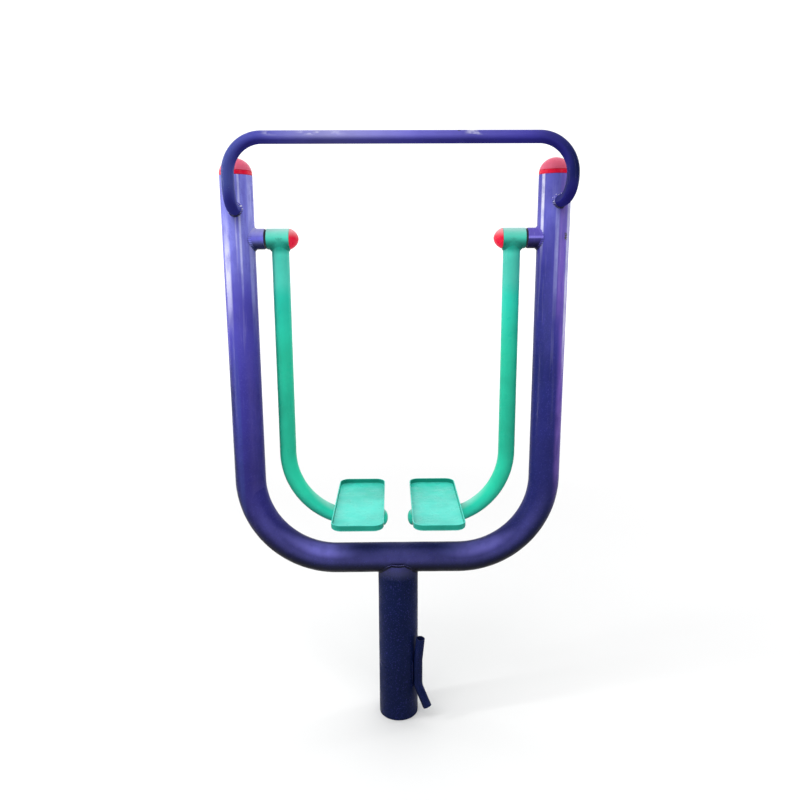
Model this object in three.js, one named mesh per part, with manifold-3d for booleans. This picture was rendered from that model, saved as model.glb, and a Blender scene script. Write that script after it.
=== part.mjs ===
// An outdoor air walker for parks: a bent steel frame on one ground post, a handrail, and two arms
// with pedals that swing under the user on ball bearings.
// Lengths are in millimetres. +Z is up and the origin is the centre of the ground post's lower end.
// The user stands on the pedals, holds the handrail and faces -Y. Names say left and right as seen
// from in front of the user, so right is at +X.

import * as THREE from "three";
import { mergeVertices } from "three/addons/utils/BufferGeometryUtils.js";
import Module from "manifold-3d";

// Driving dimensions of the frame
const frameTubeDiameter = 89;
const frameTubeWall = 3;
const postSpacing = 872;
const postTopHeight = 1634;
const frameBendRadius = 252;
const frameBottomHeight = 520;

// Driving dimensions of the ground post and of its head, which closes up around the frame's tube
const groundPostDiameter = 121;
const groundPostWall = 4;
const postHeadThickness = 12;
const postHeadDrop = 4;
const postHeadRise = 35;
const postHeadTopDiameter = 92;

// Driving dimensions of the anchor tube beside the post
const anchorTubeDiameter = 27;
const anchorTubeWall = 3;
const anchorTubeBendRadius = 45;
const anchorTubeNeckLength = 72;
const anchorTubeLean = THREE.MathUtils.degToRad(6.5);
const anchorTubeStraightTop = 197;
const anchorTubeStraightBottom = 125;
const anchorTubeTailLength = 60;
const anchorTubeTailAngle = THREE.MathUtils.degToRad(29);
const anchorTubeBearing = THREE.MathUtils.degToRad(-36);

// Driving dimensions of the handrail
const handrailDiameter = 33;
const handrailWall = 2.5;
const handrailRise = 82;
const handrailReach = 110;
const handrailLegSpacing = 892;
const handrailShift = 12;
const handrailCornerRadius = 90;
const handrailHookRadius = 58;
const leftLegLength = 24;
const rightLegLength = 5;
const leftHookInset = 17.5;
const rightHookInset = 3.5;

// Driving dimensions of the post caps
const postCapBandHeight = 12;
const postCapDomeHeight = 34;
const postCapStep = 1;
const postCapConeShare = 0.12;
const postCapWall = 2.5;
const postCapPlugDepth = 20;

// Driving dimensions of the arms
const armTubeDiameter = 48;
const armTubeWall = 3;
const armSpacing = 644;
const armBendRadius = 205;
const armRunClearance = 59.5;
const armEndSpacing = 88;
const armPlugDomeHeight = 14;
const armPlugDepth = 16;

// Driving dimensions of the hubs and of what turns in them
const axleDrop = 168;
const hubDiameter = 57;
const hubLength = 63;
const hubInnerSpacing = 590;
const hubWaistBore = 40;
const outboardBearingDepth = 3;
const inboardBearingDepth = 5;
const hubCapHeight = 24;
const hubCapConeShare = 0.22;
const hubCapWall = 2;
const sealDiameter = 53;
const sealThickness = 5;

// Driving dimensions of a ball bearing of the common 20 x 47 x 14 size
const bearingBore = 20;
const bearingDiameter = 47;
const bearingWidth = 14;
const bearingPitchDiameter = 33.5;
const ballDiameter = 7.938;
const ballCount = 8;
const innerShoulderDiameter = 28.4;
const outerShoulderDiameter = 38.8;
const cageInnerDiameter = 30.2;
const cageOuterDiameter = 36.8;
const cageWidth = 9;

// Driving dimensions of the axles, with their washers and nuts
const axleRootDiameter = 30;
const axleRootInset = 3.5;
const axleThreadDiameter = 16;
const axleTipBeyondNut = 3;
const axleTipChamfer = 1.5;
const washerDiameter = 28;
const washerThickness = 3;
const nutAcrossFlats = 24;
const nutThickness = 13;
const nutFlats = 6;
const stubWall = 3.5;
const stubDiscThickness = 6;

// Driving dimensions of the pedals and of the saddles under them
const pedalLength = 410;
const pedalWidth = 145;
const pedalSpacing = 225;
const pedalHeight = 18;
const pedalSheet = 3;
const pedalCornerRadius = 20;
const pedalEdgeRadius = 6;
const saddleLength = 110;
const saddleWidth = 62;
const saddleRise = 13;
const saddleDrop = 12;

// Clearances: a seat that is welded, pressed or screwed tight, and a gap that something turns in
const seatGap = 0.3;
const runningGap = 0.5;
const cutOverrun = 5;
const mergeTolerance = 0.001;

// How finely the round shapes are divided
const frameTubeSides = 20;
const armTubeSides = 16;
const thinTubeSides = 12;
const groundPostSides = 28;
const hubSides = 20;
const bearingSides = 16;
const ballSides = 6;
const ballRows = 4;
const frameBendSteps = 8;
const armBendSteps = 8;
const handrailBendSteps = 5;
const anchorTubeBendSteps = 3;
const domeSteps = 5;
const grooveSteps = 4;
const cornerSteps = 3;
const edgeSteps = 2;

// Sizes worked out from the ones above
const frameTubeRadius = frameTubeDiameter / 2;
const postOffset = postSpacing / 2;
const handrailRadius = handrailDiameter / 2;
const handrailHeight = postTopHeight + handrailRise;
const handrailLegOffset = handrailLegSpacing / 2;
const armTubeRadius = armTubeDiameter / 2;
const armOffset = armSpacing / 2;
const armEndOffset = armEndSpacing / 2;
const armRunHeight = frameBottomHeight + frameTubeRadius + armRunClearance + armTubeRadius;
const axleHeight = postTopHeight - axleDrop;
const hubRadius = hubDiameter / 2;
const hubInnerEnd = hubInnerSpacing / 2;
const hubOuterEnd = hubInnerEnd + hubLength;
const hubSeatRadius = bearingDiameter / 2 + seatGap;
const outboardBearingPlace = hubOuterEnd - outboardBearingDepth - bearingWidth / 2;
const inboardBearingPlace = hubInnerEnd + inboardBearingDepth + bearingWidth / 2;
const outboardRingEnd = outboardBearingPlace + bearingWidth / 2;
const inboardRingEnd = inboardBearingPlace - bearingWidth / 2;
const stubInnerEnd = hubOuterEnd + seatGap + sealThickness + runningGap;
const axleRootRadius = axleRootDiameter / 2;
const axleThreadRadius = axleThreadDiameter / 2;
const groundPostRadius = groundPostDiameter / 2;
const anchorTubeRadius = anchorTubeDiameter / 2;
const pedalBottomHeight = armRunHeight + armTubeRadius + saddleRise;
const pedalOffset = pedalSpacing / 2;

// Directions and turns
const right = new THREE.Vector3(1, 0, 0);
const back = new THREE.Vector3(0, 1, 0);
const up = new THREE.Vector3(0, 0, 1);
const front = back.clone().negate();
const down = up.clone().negate();
const quarterTurn = Math.PI / 2;
const fullTurn = Math.PI * 2;

// Paints and bare materials
const violetPaint = new THREE.MeshStandardMaterial({ color: 0x47429a, roughness: 0.3, metalness: 0.1 });
const greenPaint = new THREE.MeshStandardMaterial({ color: 0x45c8a4, roughness: 0.3, metalness: 0.1 });
const redPlastic = new THREE.MeshStandardMaterial({ color: 0xdc2540, roughness: 0.35, metalness: 0 });
const blackRubber = new THREE.MeshStandardMaterial({ color: 0x15161a, roughness: 0.75, metalness: 0 });
const bearingSteel = new THREE.MeshStandardMaterial({ color: 0xc8ccd0, roughness: 0.2, metalness: 1 });
const zincSteel = new THREE.MeshStandardMaterial({ color: 0xa9adb3, roughness: 0.4, metalness: 1 });

// Joining and cutting closed shapes
const wasm = await Module();
wasm.setup();

function solidOf(geometry) {
  const bare = geometry.clone();
  bare.deleteAttribute("normal");
  bare.deleteAttribute("uv");
  const merged = mergeVertices(bare, mergeTolerance);
  const vertProperties = merged.getAttribute("position").array;
  const triVerts = merged.index.array;
  return new wasm.Manifold(new wasm.Mesh({ numProp: 3, vertProperties, triVerts }));
}

function geometryOf(solid) {
  const { vertProperties, triVerts } = solid.getMesh();
  const geometry = new THREE.BufferGeometry();
  geometry.setAttribute("position", new THREE.BufferAttribute(vertProperties, 3));
  geometry.setIndex(new THREE.BufferAttribute(triVerts, 1));
  const faceted = geometry.toNonIndexed();
  faceted.computeVertexNormals();
  return faceted;
}

function cut(geometry, ...tools) {
  const solid = tools.reduce((rest, tool) => rest.subtract(solidOf(tool)), solidOf(geometry));
  return geometryOf(solid);
}

function join(...geometries) {
  const solid = geometries.map(solidOf).reduce((whole, piece) => whole.add(piece));
  return geometryOf(solid);
}

// A shape turned about +Y, from [radius, place] pairs that go round the section anticlockwise
function turned(profile, sides) {
  const points = profile.map(([radius, place]) => new THREE.Vector2(radius, place));
  return new THREE.LatheGeometry(points, sides);
}

function alongX(geometry) {
  return geometry.rotateZ(-quarterTurn);
}

function alongZ(geometry) {
  return geometry.rotateX(quarterTurn);
}

// The section of a plain ring, closed on itself
function ringSection(innerRadius, outerRadius, from, to) {
  return [
    [innerRadius, from],
    [outerRadius, from],
    [outerRadius, to],
    [innerRadius, to],
    [innerRadius, from],
  ];
}

function ring(innerRadius, outerRadius, from, to, sides) {
  return turned(ringSection(innerRadius, outerRadius, from, to), sides);
}

// A cylinder about +Y between two places
function rod(radius, from, to, sides) {
  return new THREE.CylinderGeometry(radius, radius, to - from, sides).translate(0, (from + to) / 2, 0);
}

// The centre line of a bent tube: straight lengths and round bends, one after the other
class TubeLine extends THREE.Curve {
  constructor(start, heading) {
    super();
    this.points = [start.clone()];
    this.headings = [heading.clone()];
  }

  straight(length) {
    const heading = this.headings.at(-1);
    this.points.push(this.points.at(-1).clone().addScaledVector(heading, length));
    this.headings.push(heading.clone());
    return this;
  }

  bend(radius, angle, axis, steps) {
    const start = this.points.at(-1);
    const heading = this.headings.at(-1);
    const centre = axis.clone().cross(heading).multiplyScalar(radius).add(start);
    for (let step = 1; step <= steps; step += 1) {
      const turn = (angle * step) / steps;
      this.points.push(start.clone().sub(centre).applyAxisAngle(axis, turn).add(centre));
      this.headings.push(heading.clone().applyAxisAngle(axis, turn));
    }
    return this;
  }

  get steps() {
    return this.points.length - 1;
  }

  between(list, share, target) {
    const place = share * this.steps;
    const index = Math.min(Math.floor(place), this.steps - 1);
    return target.lerpVectors(list[index], list[index + 1], place - index);
  }

  getPoint(share, target = new THREE.Vector3()) {
    return this.between(this.points, share, target);
  }

  getPointAt(share, target) {
    return this.getPoint(share, target);
  }

  getTangentAt(share, target = new THREE.Vector3()) {
    return this.between(this.headings, share, target).normalize();
  }
}

function tube(line, outerRadius, wall, sides) {
  const section = new THREE.Shape().absarc(0, 0, outerRadius, 0, fullTurn);
  section.holes.push(new THREE.Path().absarc(0, 0, outerRadius - wall, 0, fullTurn, true));
  return new THREE.ExtrudeGeometry(section, {
    steps: line.steps,
    curveSegments: sides / 2,
    extrudePath: line,
    bevelEnabled: false,
  });
}

// A dome as [radius, place] pairs from its rim to its tip: a quarter ellipse, drawn in towards a cone
function domeProfile(radius, base, height, coneShare) {
  const points = [];
  for (let step = 0; step < domeSteps; step += 1) {
    const angle = (quarterTurn * step) / domeSteps;
    const radiusShare = (1 - coneShare) * Math.cos(angle) + coneShare * (1 - Math.sin(angle));
    points.push([radius * radiusShare, base + height * Math.sin(angle)]);
  }
  points.push([0, base + height]);
  return points;
}

// The frame: one tube bent into a U, its two posts open at the top
function uFrame() {
  const postLength = postTopHeight - frameBottomHeight - frameBendRadius;
  const line = new TubeLine(new THREE.Vector3(-postOffset, 0, postTopHeight), down)
    .straight(postLength)
    .bend(frameBendRadius, quarterTurn, front, frameBendSteps)
    .straight(postSpacing - 2 * frameBendRadius)
    .bend(frameBendRadius, quarterTurn, front, frameBendSteps)
    .straight(postLength);
  return tube(line, frameTubeRadius, frameTubeWall, frameTubeSides);
}

// A vertical cylinder around one post, with the gap that keeps a welded tube off it
function postCutter(offset) {
  const cutter = rod(frameTubeRadius + seatGap, frameBottomHeight, postTopHeight, frameTubeSides);
  return alongZ(cutter).translate(offset, 0, 0);
}

// The ground post: a thick tube set in the ground, open below, with a solid head that narrows upward
// and is hollowed to cradle the frame's bottom tube
function groundPost() {
  const frameUnderside = frameBottomHeight - frameTubeRadius;
  const shoulder = frameUnderside - postHeadDrop;
  const headBottom = frameUnderside - postHeadThickness;
  const headTop = frameUnderside + postHeadRise;
  const boreRadius = groundPostRadius - groundPostWall;
  const profile = [
    [0, headBottom],
    [boreRadius, headBottom],
    [boreRadius, 0],
    [groundPostRadius, 0],
    [groundPostRadius, shoulder],
    [postHeadTopDiameter / 2, headTop],
    [0, headTop],
  ];
  const halfLength = groundPostRadius + cutOverrun;
  const cradle = alongX(rod(frameTubeRadius + seatGap, -halfLength, halfLength, frameTubeSides));
  return cut(alongZ(turned(profile, groundPostSides)), cradle.translate(0, 0, frameBottomHeight));
}

// The anchor tube: an open tube welded to the post's side, with its neck leaning away from the post
// and its tail bent out to key into the footing
function anchorTube() {
  const outward = right.clone().applyAxisAngle(up, anchorTubeBearing);
  const hinge = outward.clone().cross(up);
  const neckHeading = down.clone().applyAxisAngle(hinge, -anchorTubeLean);
  const neckEnd = outward.clone().multiplyScalar(anchorTubeBendRadius * (1 - Math.cos(anchorTubeLean)));
  neckEnd.z = anchorTubeStraightTop + anchorTubeBendRadius * Math.sin(anchorTubeLean);
  neckEnd.addScaledVector(outward, groundPostRadius + seatGap + anchorTubeRadius);
  const start = neckEnd.addScaledVector(neckHeading, -anchorTubeNeckLength);
  const line = new TubeLine(start, neckHeading)
    .straight(anchorTubeNeckLength)
    .bend(anchorTubeBendRadius, anchorTubeLean, hinge, 1)
    .straight(anchorTubeStraightTop - anchorTubeStraightBottom)
    .bend(anchorTubeBendRadius, anchorTubeTailAngle, hinge, anchorTubeBendSteps)
    .straight(anchorTubeTailLength);
  return tube(line, anchorTubeRadius, anchorTubeWall, thinTubeSides);
}

// The handrail: a bar across the front, two legs, and ends hooked back to the posts. The legs stand
// wider apart than the posts, so each hook turns in, to point at a place a little inboard of its post's
// axis.
function handrail() {
  const toeIn = (shift, inset) => Math.atan2(handrailLegOffset + shift - postOffset + inset, handrailReach);
  const leftToeIn = toeIn(-handrailShift, leftHookInset);
  const rightToeIn = toeIn(handrailShift, rightHookInset);
  const leftReach = handrailReach / Math.cos(leftToeIn);
  const rightReach = handrailReach / Math.cos(rightToeIn);
  const outward = front.clone().applyAxisAngle(up, -leftToeIn);
  const inward = back.clone().applyAxisAngle(up, rightToeIn);
  const leftEndHeight = handrailHeight - handrailCornerRadius - leftLegLength - handrailHookRadius;
  const start = new THREE.Vector3(-handrailLegOffset, -handrailReach, leftEndHeight);
  start.addScaledVector(outward, -leftReach);
  const line = new TubeLine(start, outward)
    .straight(leftReach - handrailHookRadius)
    .bend(handrailHookRadius, quarterTurn, outward.clone().cross(up), handrailBendSteps)
    .straight(leftLegLength)
    .bend(handrailCornerRadius, quarterTurn, back, handrailBendSteps)
    .straight(handrailLegSpacing - 2 * handrailCornerRadius)
    .bend(handrailCornerRadius, quarterTurn, back, handrailBendSteps)
    .straight(rightLegLength)
    .bend(handrailHookRadius, quarterTurn, down.clone().cross(inward), handrailBendSteps)
    .straight(rightReach - handrailHookRadius);
  const bar = tube(line, handrailRadius, handrailWall, thinTubeSides).translate(handrailShift, 0, 0);
  return cut(bar, postCutter(-postOffset), postCutter(postOffset));
}

// A post cap: a plastic dome with a short band, and a plug that fits the post's bore
function postCap() {
  const base = postTopHeight + seatGap;
  const bandTop = base + postCapBandHeight;
  const plugRadius = frameTubeRadius - frameTubeWall - seatGap;
  const innerRadius = plugRadius - postCapWall;
  const outside = domeProfile(frameTubeRadius - postCapStep, bandTop, postCapDomeHeight, postCapConeShare);
  const inside = domeProfile(innerRadius, bandTop, postCapDomeHeight - postCapWall, postCapConeShare);
  const profile = [
    [innerRadius, base - postCapPlugDepth],
    [plugRadius, base - postCapPlugDepth],
    [plugRadius, base],
    [frameTubeRadius, base],
    [frameTubeRadius, bandTop],
    ...outside,
    ...inside.reverse().slice(1),
    [innerRadius, base - postCapPlugDepth],
  ];
  return alongZ(turned(profile, frameTubeSides)).translate(postOffset, 0, 0);
}

// The rest is written for the side at +X, with the axle along X, and turned round for the other side.
function onAxle(geometry) {
  return alongX(geometry).translate(0, 0, axleHeight);
}

function axleStub() {
  const end = postOffset;
  const stub = onAxle(ring(hubRadius - stubWall, hubRadius, stubInnerEnd, end, hubSides));
  return cut(stub, postCutter(postOffset));
}

function stubDisc() {
  const from = stubInnerEnd + seatGap;
  const outerRadius = hubRadius - stubWall - seatGap;
  return onAxle(ring(axleRootRadius + seatGap, outerRadius, from, from + stubDiscThickness, hubSides));
}

// The axle: a thick root in the stub, a seat for both bearings and a thread for the nut
function axle() {
  const seatRadius = bearingBore / 2 - seatGap;
  const seatEnd = inboardRingEnd + seatGap;
  const washerPlace = inboardRingEnd - washerThickness - seatGap;
  const tip = washerPlace - nutThickness - seatGap - axleTipBeyondNut;
  const profile = [
    [0, tip],
    [axleThreadRadius - axleTipChamfer, tip],
    [axleThreadRadius, tip + axleTipChamfer],
    [axleThreadRadius, seatEnd],
    [seatRadius, seatEnd],
    [seatRadius, outboardRingEnd + seatGap],
    [axleRootRadius, outboardRingEnd + seatGap],
    [axleRootRadius, postOffset - frameTubeRadius - axleRootInset],
    [0, postOffset - frameTubeRadius - axleRootInset],
  ];
  return onAxle(turned(profile, hubSides));
}

// Points of a bearing's groove, on the side of the balls that faces the ring
function groove(place, shoulderRadius, sense) {
  const pitchRadius = bearingPitchDiameter / 2;
  const grooveRadius = ballDiameter / 2 + runningGap;
  const shoulderAngle = Math.acos((sense * (shoulderRadius - pitchRadius)) / grooveRadius);
  const points = [];
  for (let step = 0; step <= grooveSteps; step += 1) {
    const angle = shoulderAngle * (1 - (2 * step) / grooveSteps);
    const radius = pitchRadius + sense * grooveRadius * Math.cos(angle);
    points.push([radius, place - sense * grooveRadius * Math.sin(angle)]);
  }
  return points;
}

function bearingInnerRing(place) {
  const from = place - bearingWidth / 2;
  const to = place + bearingWidth / 2;
  const shoulder = innerShoulderDiameter / 2;
  const profile = [
    [bearingBore / 2, from],
    [shoulder, from],
    ...groove(place, shoulder, -1).reverse(),
    [shoulder, to],
    [bearingBore / 2, to],
    [bearingBore / 2, from],
  ];
  return onAxle(turned(profile, bearingSides));
}

function bearingOuterRing(place) {
  const from = place - bearingWidth / 2;
  const to = place + bearingWidth / 2;
  const shoulder = outerShoulderDiameter / 2;
  const profile = [
    [shoulder, from],
    [bearingDiameter / 2, from],
    [bearingDiameter / 2, to],
    [shoulder, to],
    ...groove(place, shoulder, 1).reverse(),
    [shoulder, from],
  ];
  return onAxle(turned(profile, hubSides));
}

// The cage with its balls, which roll between the rings
function ballCage(place) {
  const from = place - cageWidth / 2;
  const to = place + cageWidth / 2;
  const cage = ring(cageInnerDiameter / 2, cageOuterDiameter / 2, from, to, bearingSides);
  const balls = [];
  for (let index = 0; index < ballCount; index += 1) {
    const ball = new THREE.SphereGeometry(ballDiameter / 2, ballSides, ballRows);
    ball.translate(bearingPitchDiameter / 2, place, 0).rotateY((fullTurn * index) / ballCount);
    balls.push(ball);
  }
  return onAxle(join(cage, ...balls));
}

function spacerSleeve() {
  const from = inboardBearingPlace + bearingWidth / 2 + seatGap;
  const to = outboardBearingPlace - bearingWidth / 2 - seatGap;
  return onAxle(ring(bearingBore / 2, innerShoulderDiameter / 2 - runningGap, from, to, bearingSides));
}

function axleWasher() {
  const to = inboardRingEnd - seatGap;
  return onAxle(ring(axleThreadRadius + seatGap, washerDiameter / 2, to - washerThickness, to, hubSides));
}

function axleNut() {
  const to = inboardRingEnd - washerThickness - 2 * seatGap;
  const from = to - nutThickness;
  const cornerRadius = nutAcrossFlats / 2 / Math.cos(Math.PI / nutFlats);
  const bore = rod(axleThreadRadius + seatGap, from - cutOverrun, to + cutOverrun, hubSides);
  return onAxle(cut(rod(cornerRadius, from, to, nutFlats), bore));
}

// The hub: a turned sleeve with a bearing seat in each end and a waist between them
function hub() {
  const inboardShoulder = inboardBearingPlace + bearingWidth / 2 + seatGap;
  const outboardShoulder = outboardBearingPlace - bearingWidth / 2 - seatGap;
  const profile = [
    [hubSeatRadius, hubInnerEnd],
    [hubRadius, hubInnerEnd],
    [hubRadius, hubOuterEnd],
    [hubSeatRadius, hubOuterEnd],
    [hubSeatRadius, outboardShoulder],
    [hubWaistBore / 2, outboardShoulder],
    [hubWaistBore / 2, inboardShoulder],
    [hubSeatRadius, inboardShoulder],
    [hubSeatRadius, hubInnerEnd],
  ];
  return onAxle(turned(profile, hubSides));
}

// The dust seal: a rubber ring between hub and stub, with a lip pressed into the hub
function dustSeal() {
  const base = hubOuterEnd + seatGap;
  const lipEnd = outboardRingEnd + seatGap;
  const bore = axleRootRadius + runningGap;
  const lipRadius = hubSeatRadius - seatGap;
  const profile = [
    [bore, lipEnd],
    [lipRadius, lipEnd],
    [lipRadius, base],
    [sealDiameter / 2, base],
    [sealDiameter / 2, base + sealThickness],
    [bore, base + sealThickness],
    [bore, lipEnd],
  ];
  return onAxle(turned(profile, hubSides));
}

// The hub cap: a plastic dome over the nut, pressed into the hub's inner end
function hubCap() {
  const base = hubInnerEnd - seatGap;
  const plugEnd = inboardRingEnd - seatGap;
  const plugRadius = hubSeatRadius - seatGap;
  const innerRadius = plugRadius - hubCapWall;
  const outside = domeProfile(hubRadius, base, -hubCapHeight, hubCapConeShare);
  const inside = domeProfile(innerRadius, base, hubCapWall - hubCapHeight, hubCapConeShare);
  const profile = [
    [plugRadius, plugEnd],
    [innerRadius, plugEnd],
    ...inside,
    ...outside.reverse(),
    [plugRadius, base],
    [plugRadius, plugEnd],
  ];
  return onAxle(turned(profile, hubSides));
}

// The arm: a tube welded under the hub, straight down and then bent in under the pedal
function armTube() {
  const line = new TubeLine(new THREE.Vector3(armOffset, 0, axleHeight), down)
    .straight(axleHeight - armRunHeight - armBendRadius)
    .bend(armBendRadius, quarterTurn, back, armBendSteps)
    .straight(armOffset - armBendRadius - armEndOffset);
  const hubCutter = rod(hubRadius + seatGap, hubInnerEnd - cutOverrun, hubOuterEnd + cutOverrun, hubSides);
  return cut(tube(line, armTubeRadius, armTubeWall, armTubeSides), onAxle(hubCutter));
}

// The domed plug in the arm's lower end
function armEndPlug() {
  const base = armEndOffset - seatGap;
  const plugRadius = armTubeRadius - armTubeWall - seatGap;
  const dome = domeProfile(armTubeRadius, base, -armPlugDomeHeight, 0);
  const profile = [
    ...dome.reverse(),
    [plugRadius, base],
    [plugRadius, base + armPlugDepth],
    [0, base + armPlugDepth],
  ];
  return alongX(turned(profile, armTubeSides)).translate(0, 0, armRunHeight);
}

// A box between two corners
function block(low, high) {
  const size = high.clone().sub(low);
  const middle = low.clone().add(high).multiplyScalar(0.5);
  return new THREE.BoxGeometry(size.x, size.y, size.z).translate(middle.x, middle.y, middle.z);
}

// The saddle: a steel block hollowed to sit on the arm's run, which carries the pedal
function pedalSaddle() {
  const top = pedalBottomHeight - seatGap;
  const bottom = armRunHeight + armTubeRadius - saddleDrop;
  const low = new THREE.Vector3(pedalOffset - saddleLength / 2, -saddleWidth / 2, bottom);
  const high = new THREE.Vector3(pedalOffset + saddleLength / 2, saddleWidth / 2, top);
  const from = pedalOffset - saddleLength / 2 - cutOverrun;
  const run = alongX(rod(armTubeRadius + seatGap, from, armOffset, armTubeSides));
  return cut(block(low, high), run.translate(0, 0, armRunHeight), armBendCutter());
}

// The space around the arm's bend, which the saddle's outer end stays clear of
function armBendCutter() {
  const line = new TubeLine(new THREE.Vector3(armOffset, 0, armRunHeight + armBendRadius), down)
    .bend(armBendRadius, quarterTurn, back, armBendSteps);
  const section = new THREE.Shape().absarc(0, 0, armTubeRadius + seatGap, 0, fullTurn);
  return new THREE.ExtrudeGeometry(section, {
    steps: line.steps,
    curveSegments: armTubeSides / 2,
    extrudePath: line,
    bevelEnabled: false,
  });
}

// A slab with round corners and round upper and lower edges, standing on z = 0
function roundedSlab(width, length, height, cornerRadius, edgeRadius) {
  const x = width / 2 - edgeRadius;
  const y = length / 2 - edgeRadius;
  const radius = cornerRadius - edgeRadius;
  const outline = new THREE.Shape()
    .moveTo(x - radius, -y)
    .absarc(x - radius, radius - y, radius, -quarterTurn, 0)
    .absarc(x - radius, y - radius, radius, 0, quarterTurn)
    .absarc(radius - x, y - radius, radius, quarterTurn, Math.PI)
    .absarc(radius - x, radius - y, radius, Math.PI, Math.PI + quarterTurn);
  const slab = new THREE.ExtrudeGeometry(outline, {
    depth: height - 2 * edgeRadius,
    curveSegments: cornerSteps,
    bevelThickness: edgeRadius,
    bevelSize: edgeRadius,
    bevelSegments: edgeSteps,
  });
  return slab.translate(0, 0, edgeRadius);
}

// The pedal: a pressed steel tray with a raised rim all round
function pedal() {
  const above = pedalEdgeRadius + cutOverrun;
  const shell = roundedSlab(pedalWidth, pedalLength, pedalHeight + above, pedalCornerRadius, pedalEdgeRadius);
  const hollow = roundedSlab(
    pedalWidth - 2 * pedalSheet,
    pedalLength - 2 * pedalSheet,
    pedalHeight + 2 * above,
    pedalCornerRadius - pedalSheet,
    pedalEdgeRadius - pedalSheet,
  );
  const lid = block(
    new THREE.Vector3(-pedalWidth, -pedalLength, pedalHeight),
    new THREE.Vector3(pedalWidth, pedalLength, pedalHeight + 2 * above),
  );
  const tray = cut(shell, hollow.translate(0, 0, pedalSheet), lid);
  return tray.translate(pedalOffset, 0, pedalBottomHeight);
}

function piece(name, geometry, material) {
  const mesh = new THREE.Mesh(geometry, material);
  mesh.name = name;
  return mesh;
}

function frameHalf(side) {
  return [
    piece(`${side}_post_cap`, postCap(), redPlastic),
    piece(`${side}_axle_stub`, axleStub(), violetPaint),
    piece(`${side}_stub_disc`, stubDisc(), zincSteel),
    piece(`${side}_axle`, axle(), zincSteel),
    piece(`${side}_outboard_bearing_inner_ring`, bearingInnerRing(outboardBearingPlace), bearingSteel),
    piece(`${side}_inboard_bearing_inner_ring`, bearingInnerRing(inboardBearingPlace), bearingSteel),
    piece(`${side}_spacer_sleeve`, spacerSleeve(), zincSteel),
    piece(`${side}_axle_washer`, axleWasher(), zincSteel),
    piece(`${side}_axle_nut`, axleNut(), zincSteel),
    piece(`${side}_outboard_ball_cage`, ballCage(outboardBearingPlace), bearingSteel),
    piece(`${side}_inboard_ball_cage`, ballCage(inboardBearingPlace), bearingSteel),
  ];
}

function arm(side) {
  return [
    piece(`${side}_hub`, hub(), greenPaint),
    piece(`${side}_outboard_bearing_outer_ring`, bearingOuterRing(outboardBearingPlace), bearingSteel),
    piece(`${side}_inboard_bearing_outer_ring`, bearingOuterRing(inboardBearingPlace), bearingSteel),
    piece(`${side}_dust_seal`, dustSeal(), blackRubber),
    piece(`${side}_hub_cap`, hubCap(), redPlastic),
    piece(`${side}_arm_tube`, armTube(), greenPaint),
    piece(`${side}_arm_end_plug`, armEndPlug(), greenPaint),
    piece(`${side}_pedal_saddle`, pedalSaddle(), greenPaint),
    piece(`${side}_pedal`, pedal(), greenPaint),
  ];
}

const airWalker = new THREE.Group();
airWalker.add(piece("u_frame", uFrame(), violetPaint));
airWalker.add(piece("ground_post", groundPost(), violetPaint));
airWalker.add(piece("anchor_tube", anchorTube(), violetPaint));
airWalker.add(piece("handrail", handrail(), violetPaint));
for (const [side, turn] of [["right", 0], ["left", Math.PI]]) {
  const half = new THREE.Group();
  half.rotation.z = turn;
  half.add(...frameHalf(side), ...arm(side));
  airWalker.add(half);
}

export default airWalker;
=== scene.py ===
"""Dresses an outdoor air walker: a bent steel frame on one ground post, a handrail, and two arms whose
pedals swing on ball bearings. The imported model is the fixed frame. Every piece of it that shows is modelled
again here in its smooth form, and the pieces inside the hubs keep their shape and get their metals.

Lengths are in metres and +Z is up. Left and right are as seen from in front of the user, so right is +X."""

import math
from typing import NamedTuple

import bmesh
import bpy
from bpy.props import FloatProperty, FloatVectorProperty, IntProperty, PointerProperty
from mathutils import Matrix, Quaternion, Vector


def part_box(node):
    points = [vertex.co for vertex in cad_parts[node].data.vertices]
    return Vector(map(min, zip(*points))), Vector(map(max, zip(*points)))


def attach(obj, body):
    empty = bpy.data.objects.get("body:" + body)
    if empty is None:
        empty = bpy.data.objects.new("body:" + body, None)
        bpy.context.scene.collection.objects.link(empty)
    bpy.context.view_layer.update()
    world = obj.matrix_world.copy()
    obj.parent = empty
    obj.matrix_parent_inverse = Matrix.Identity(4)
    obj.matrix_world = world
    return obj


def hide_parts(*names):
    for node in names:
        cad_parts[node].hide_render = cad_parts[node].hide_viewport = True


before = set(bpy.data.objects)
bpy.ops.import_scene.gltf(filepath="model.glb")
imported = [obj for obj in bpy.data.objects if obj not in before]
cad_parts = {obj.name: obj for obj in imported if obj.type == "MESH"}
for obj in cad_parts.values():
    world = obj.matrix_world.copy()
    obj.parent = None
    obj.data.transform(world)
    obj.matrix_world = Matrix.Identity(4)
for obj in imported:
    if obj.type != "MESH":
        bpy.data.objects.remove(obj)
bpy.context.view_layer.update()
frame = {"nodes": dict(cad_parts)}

bl_info = {
    "name": "Outdoor air walker",
    "version": (1, 0, 0),
    "blender": (4, 5, 0),
    "location": "View3D > Sidebar > Air walker",
    "description": "Models an outdoor air walker piece by piece on its measured frame",
    "category": "Add Mesh",
}

RIGHT = Vector((1, 0, 0))
BACK = Vector((0, 1, 0))
UP = Vector((0, 0, 1))
QUARTER_TURN = math.radians(90)
HALF_TURN = math.radians(180)
FULL_TURN = math.radians(360)

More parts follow.
